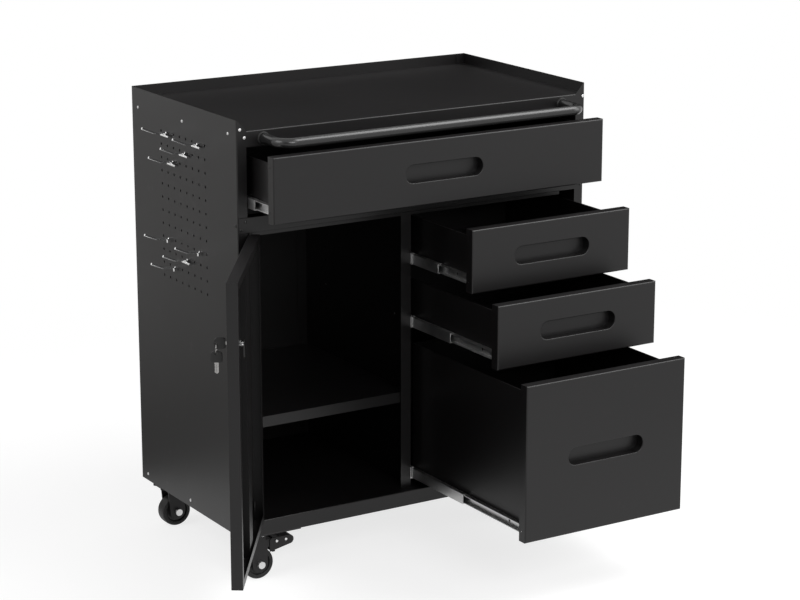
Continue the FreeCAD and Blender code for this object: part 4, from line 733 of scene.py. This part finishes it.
# %% [markdown]
# A blade is a flat bar with a milled groove down both faces. Its section is a loop of twelve
# points, and the notches move that loop's one edge in and out along the way.

# %% Key blades
blade_half_thick = 0.95 * mm
bare_share = 0.3
tip_share = 0.1
groove_floor = 0.45
upper_face = [(0, 1), (0.3, 1), (0.4, groove_floor), (0.6, groove_floor), (0.7, 1), (1, 1)]
blade_section = np.array([(0, -1)] + upper_face + [(share, -height) for share, height
                                                   in upper_face[:0:-1]])


def key_blade(start, end, side, half_width, cuts):
    """Blade: point = start + way * length + edge * wide + height * side. The cut edge is at
    -half width * taper + cuts * |sin 15w| * (0.6 + 0.4 * sin 41w) past the bare part, and the
    taper falls to 0.35 over the tip."""
    along = unit(end - start)
    wide = unit(np.cross(side, along))
    way = np.linspace(0, 1, 72)
    length = np.linalg.norm(end - start)
    notch = cuts * np.abs(np.sin(way * 15.0)) * (0.6 + 0.4 * np.sin(way * 41.0))
    notch = notch * (way > bare_share)
    taper = np.clip((1 - way) / tip_share, 0.35, 1)
    low_edge = (-half_width * taper + notch)[:, None, None]
    high_edge = (half_width * taper)[:, None, None]
    share = blade_section[:, 0][None, :, None]
    height = blade_section[:, 1][None, :, None] * blade_half_thick
    spine = start + (way * length)[:, None, None] * along
    points = spine + (low_edge * (1 - share) + high_edge * share) * wide + height * side
    ends = [np.broadcast_to(points[at].mean(axis=0), points[:1].shape) for at in (0, -1)]
    return grid(np.concatenate([ends[0], points, ends[1]]), close_columns=True)


print("blade section of", len(blade_section), "points")

# %% [markdown]
# One key stands in the lock and points straight out of the door. The other hangs from the ring
# in the first key's grip. Their places and directions come from the joints they turn about.

# %% Make both keys
lock_place = np.array(joints["lock_turn"]["pos_m"])
out_of_door = unit(joints["lock_turn"]["axis"])
key_side = unit(joints["key_ring_swing"]["axis"])
ring_top = np.array(joints["key_ring_swing"]["pos_m"])
ring_foot = np.array(joints["spare_key_swing"]["pos_m"])
up = np.array((0, 0, 1.0))
door_key_hole = lock_place + out_of_door * 21.0 * mm
door_key_neck = lock_place + out_of_door * 14 * mm
door_key_tip = lock_place - out_of_door * 14.5 * mm
spare_hole = ring_foot - up * 1.0 * mm
spare_neck = spare_hole - up * 12 * mm
spare_tip = spare_hole - up * 35.8 * mm
piece("door_key_grip", [key_grip(door_key_hole, out_of_door, key_side, 3.0)],
      black_plastic, "lock", ["door_key"])
piece("door_key_blade", [key_blade(door_key_neck, door_key_tip, key_side, 2.9 * mm, 0.9 * mm)],
      key_nickel, "lock", ["door_key"])
piece("spare_key_grip", [key_grip(spare_hole, up, key_side, 5.0)],
      black_plastic, "spare_key", ["spare_key"])
piece("spare_key_blade", [key_blade(spare_neck, spare_tip, key_side, 3.6 * mm, 1.3 * mm)],
      key_nickel, "spare_key", ["spare_key"])
print("two keys, hole at", [round(value, 4) for value in door_key_hole])

# %% [markdown]
# ## A split ring
# The key ring is one flat coil of spring wire that goes round twice, its turns lying together.
# Its middle line is a helix, place = middle + radius * (cos a, sin a) + pitch * a, and a round
# section is carried along it. The section shrinks to a point at both ends, which closes them.

# %% Split ring
coil_radius = 8.0 * mm
wire_radius = 0.4 * mm
turns = 2
rings_of_points_a_turn = 72
end_steepness = 12


def split_ring(middle, axis):
    """Coil: a round section on a helix of two turns whose pitch is two wire radii. Point = middle
    + ray * (coil radius + thick * cos b) + axis * (drift + thick * sin b), where thick grows from
    0 at either end by end steepness times the angle, up to the wire's radius."""
    u, v = across(axis)
    full_turn = 2 * np.pi
    angle = np.linspace(0, full_turn * turns, rings_of_points_a_turn * turns)[:, None, None]
    ray = np.cos(angle) * u + np.sin(angle) * v
    drift = (angle / full_turn - turns / 2) * 2 * wire_radius
    from_end = np.minimum(angle, full_turn * turns - angle)
    thick = wire_radius * np.clip(from_end * end_steepness, 0, 1)
    way = np.linspace(0, full_turn, 10, endpoint=False)[None, :, None]
    points = (middle + ray * (coil_radius + thick * np.cos(way))
              + axis * (drift + thick * np.sin(way)))
    return grid(points, close_columns=True)


piece("split_ring", [split_ring(ring_top - up * coil_radius, out_of_door)],
      key_nickel, "key_ring", ["key_ring"])
print("split ring of", turns, "turns")

# %% [markdown]
# ## Floor, backdrop and light
# A studio product picture has a seamless white sweep and large soft lamps. The floor looks
# white to the camera and to mirrors, but it lights the cabinet only a little, and it still
# takes the cabinet's shadow. Further out it blends into plain white, so no horizon shows.

# %% Floor and backdrop
floor_side = 30.0
floor_grain_size = 0.02
shadow_reach = (0.9, 1.9)
no_glow = grey(0.0)
floor_glow = grey(0.76)
scattered_light = grey(0.3)
plain_white = grey(1.0)


def seen_directly(tree):
    """Give 1 for rays from the camera, a mirror or clear glass, and 0 for scattered ones."""
    rays = tree.nodes.new("ShaderNodeLightPath")
    camera_ray, glossy_ray, clear_ray = (Wire(tree, rays.outputs[name]) for name in
                                         ("Is Camera Ray", "Is Glossy Ray", "Is Transmission Ray"))
    return camera_ray + glossy_ray + clear_ray


def floor_finish():
    """White floor that keeps a shadow: a pale skin lifted by its own glow, then plain white, with
    the share of plain white rising from 0 to 1 over the shadow reach."""
    finish = Finish("floor")
    seen = seen_directly(finish.tree)
    grain = finish.noise(floor_grain_size, 2.0)
    material = finish.set(Base_Color=finish.mix(grain, grey(0.36), grey(0.38)), Roughness=0.9,
                          Specular_IOR_Level=0.0, Emission_Strength=1.0,
                          Emission_Color=finish.mix(seen, no_glow, floor_glow))
    away = finish.add("ShaderNodeVectorMath", {"operation": "LENGTH"}, output=1, i0=finish.places())
    white = finish.add("ShaderNodeEmission", Color=finish.mix(seen, scattered_light, plain_white))
    blend = finish.add("ShaderNodeMixShader", i0=away.ramp(*shadow_reach),
                       i1=Wire(finish.tree, finish.shader.outputs[0]), i2=white)
    finish.feed(finish.tree.nodes["Material Output"].inputs["Surface"], blend)
    return material


floor_mesh = bpy.data.meshes.new("floor")
floor_corners = [(-floor_side, -floor_side, 0), (floor_side, -floor_side, 0),
                 (floor_side, floor_side, 0), (-floor_side, floor_side, 0)]
floor_mesh.from_pydata(floor_corners, [], [(0, 1, 2, 3)])
floor = bpy.data.objects.new("floor", floor_mesh)
floor_mesh.materials.append(floor_finish())
scene.collection.objects.link(floor)

studio = bpy.data.worlds.new("studio")
scene.world = studio
studio.use_nodes = True
tree = studio.node_tree
sky_mix = tree.nodes.new("ShaderNodeMix")
sky_mix.data_type = "RGBA"
tree.links.new(seen_directly(tree).socket, sky_mix.inputs[0])
sky_mix.inputs[6].default_value = scattered_light
sky_mix.inputs[7].default_value = plain_white
tree.links.new(sky_mix.outputs[2], tree.nodes["Background"].inputs["Color"])
print("sweep ready")

# %% [markdown]
# ## Flags
# A glossy black surface shows what stands opposite it. As in a studio, black flags hang behind
# the camera and behind the cabinet, so that what faces the lens and the worktop turn dark while
# the fronts mirror the white sweep. A grey flag low at the left tones the tool-hook side down.
# The flags are met by mirrored rays alone, and neither throw a shadow nor show in a picture.

# %% Flags


def flag(name, place, target, width, height, cloth):
    """Hang a flat card square to the line to its target, for mirrored rays alone. Its corners are
    its place -+ half its width sideways -+ half its height upright."""
    facing = (target - place).normalized()
    sideways = facing.cross(Vector((0, 0, 1))).normalized() * width / 2
    upright = sideways.cross(facing).normalized() * height / 2
    mesh = bpy.data.meshes.new(name)
    mesh.from_pydata([place - sideways - upright, place + sideways - upright,
                      place + sideways + upright, place - sideways + upright], [], [(0, 1, 2, 3)])
    item = bpy.data.objects.new(name, mesh)
    mesh.materials.append(cloth)
    scene.collection.objects.link(item)
    item.visible_camera = False
    item.visible_diffuse = False
    item.visible_transmission = False
    item.visible_shadow = False


black_cloth = moulded("black_cloth", 0.004, 0.9, 0.002)
grey_cloth = moulded("grey_cloth", 0.6, 0.9, 0.002)
middle_height = Vector((0, 0, 0.6))
top_left = Vector((-0.38, 0, 0.9))
behind_camera = camera_place * 1.3
behind_cabinet = Vector((1.9, 3.0, 1.9))
low_at_left = Vector((-0.75, 0.45, 0.12))
flag("flag_front", behind_camera, middle_height, 4.6, 3.4, black_cloth)
flag("flag_rear", behind_cabinet, middle_height, 5.0, 3.2, black_cloth)
flag("flag_left", low_at_left, top_left, 3.0, 2.0, grey_cloth)
print("flags hung")

# %% [markdown]
# ## Lamps
# Four large soft lamps light the cabinet at a plain level. The front one is the strongest, and
# the one above stands to the right of the front, where the top edges of the drawer fronts and
# of the handle mirror it as thin bright lines.

# %% Lamps
lamp_aim = Vector((0.0, -0.1, 0.45))


def lamp(name, place, width, height, watts):
    """Hang one soft rectangular lamp that faces the cabinet."""
    data = bpy.data.lights.new(name, "AREA")
    data.shape = "RECTANGLE"
    data.size = width
    data.size_y = height
    data.energy = watts
    item = bpy.data.objects.new(name, data)
    item.location = place
    item.rotation_euler = (lamp_aim - Vector(place)).to_track_quat("-Z", "Y").to_euler()
    scene.collection.objects.link(item)


lamp("lamp_left", (-3.2, -0.2, 2.6), 2.0, 2.0, 40)
lamp("lamp_front", (-0.4, -4.2, 2.6), 2.4, 1.6, 70)
lamp("lamp_right", (3.0, -1.8, 1.8), 1.4, 2.0, 30)
lamp("lamp_top", (1.6, -1.2, 3.0), 2.0, 1.6, 60)
print("lamps ready")
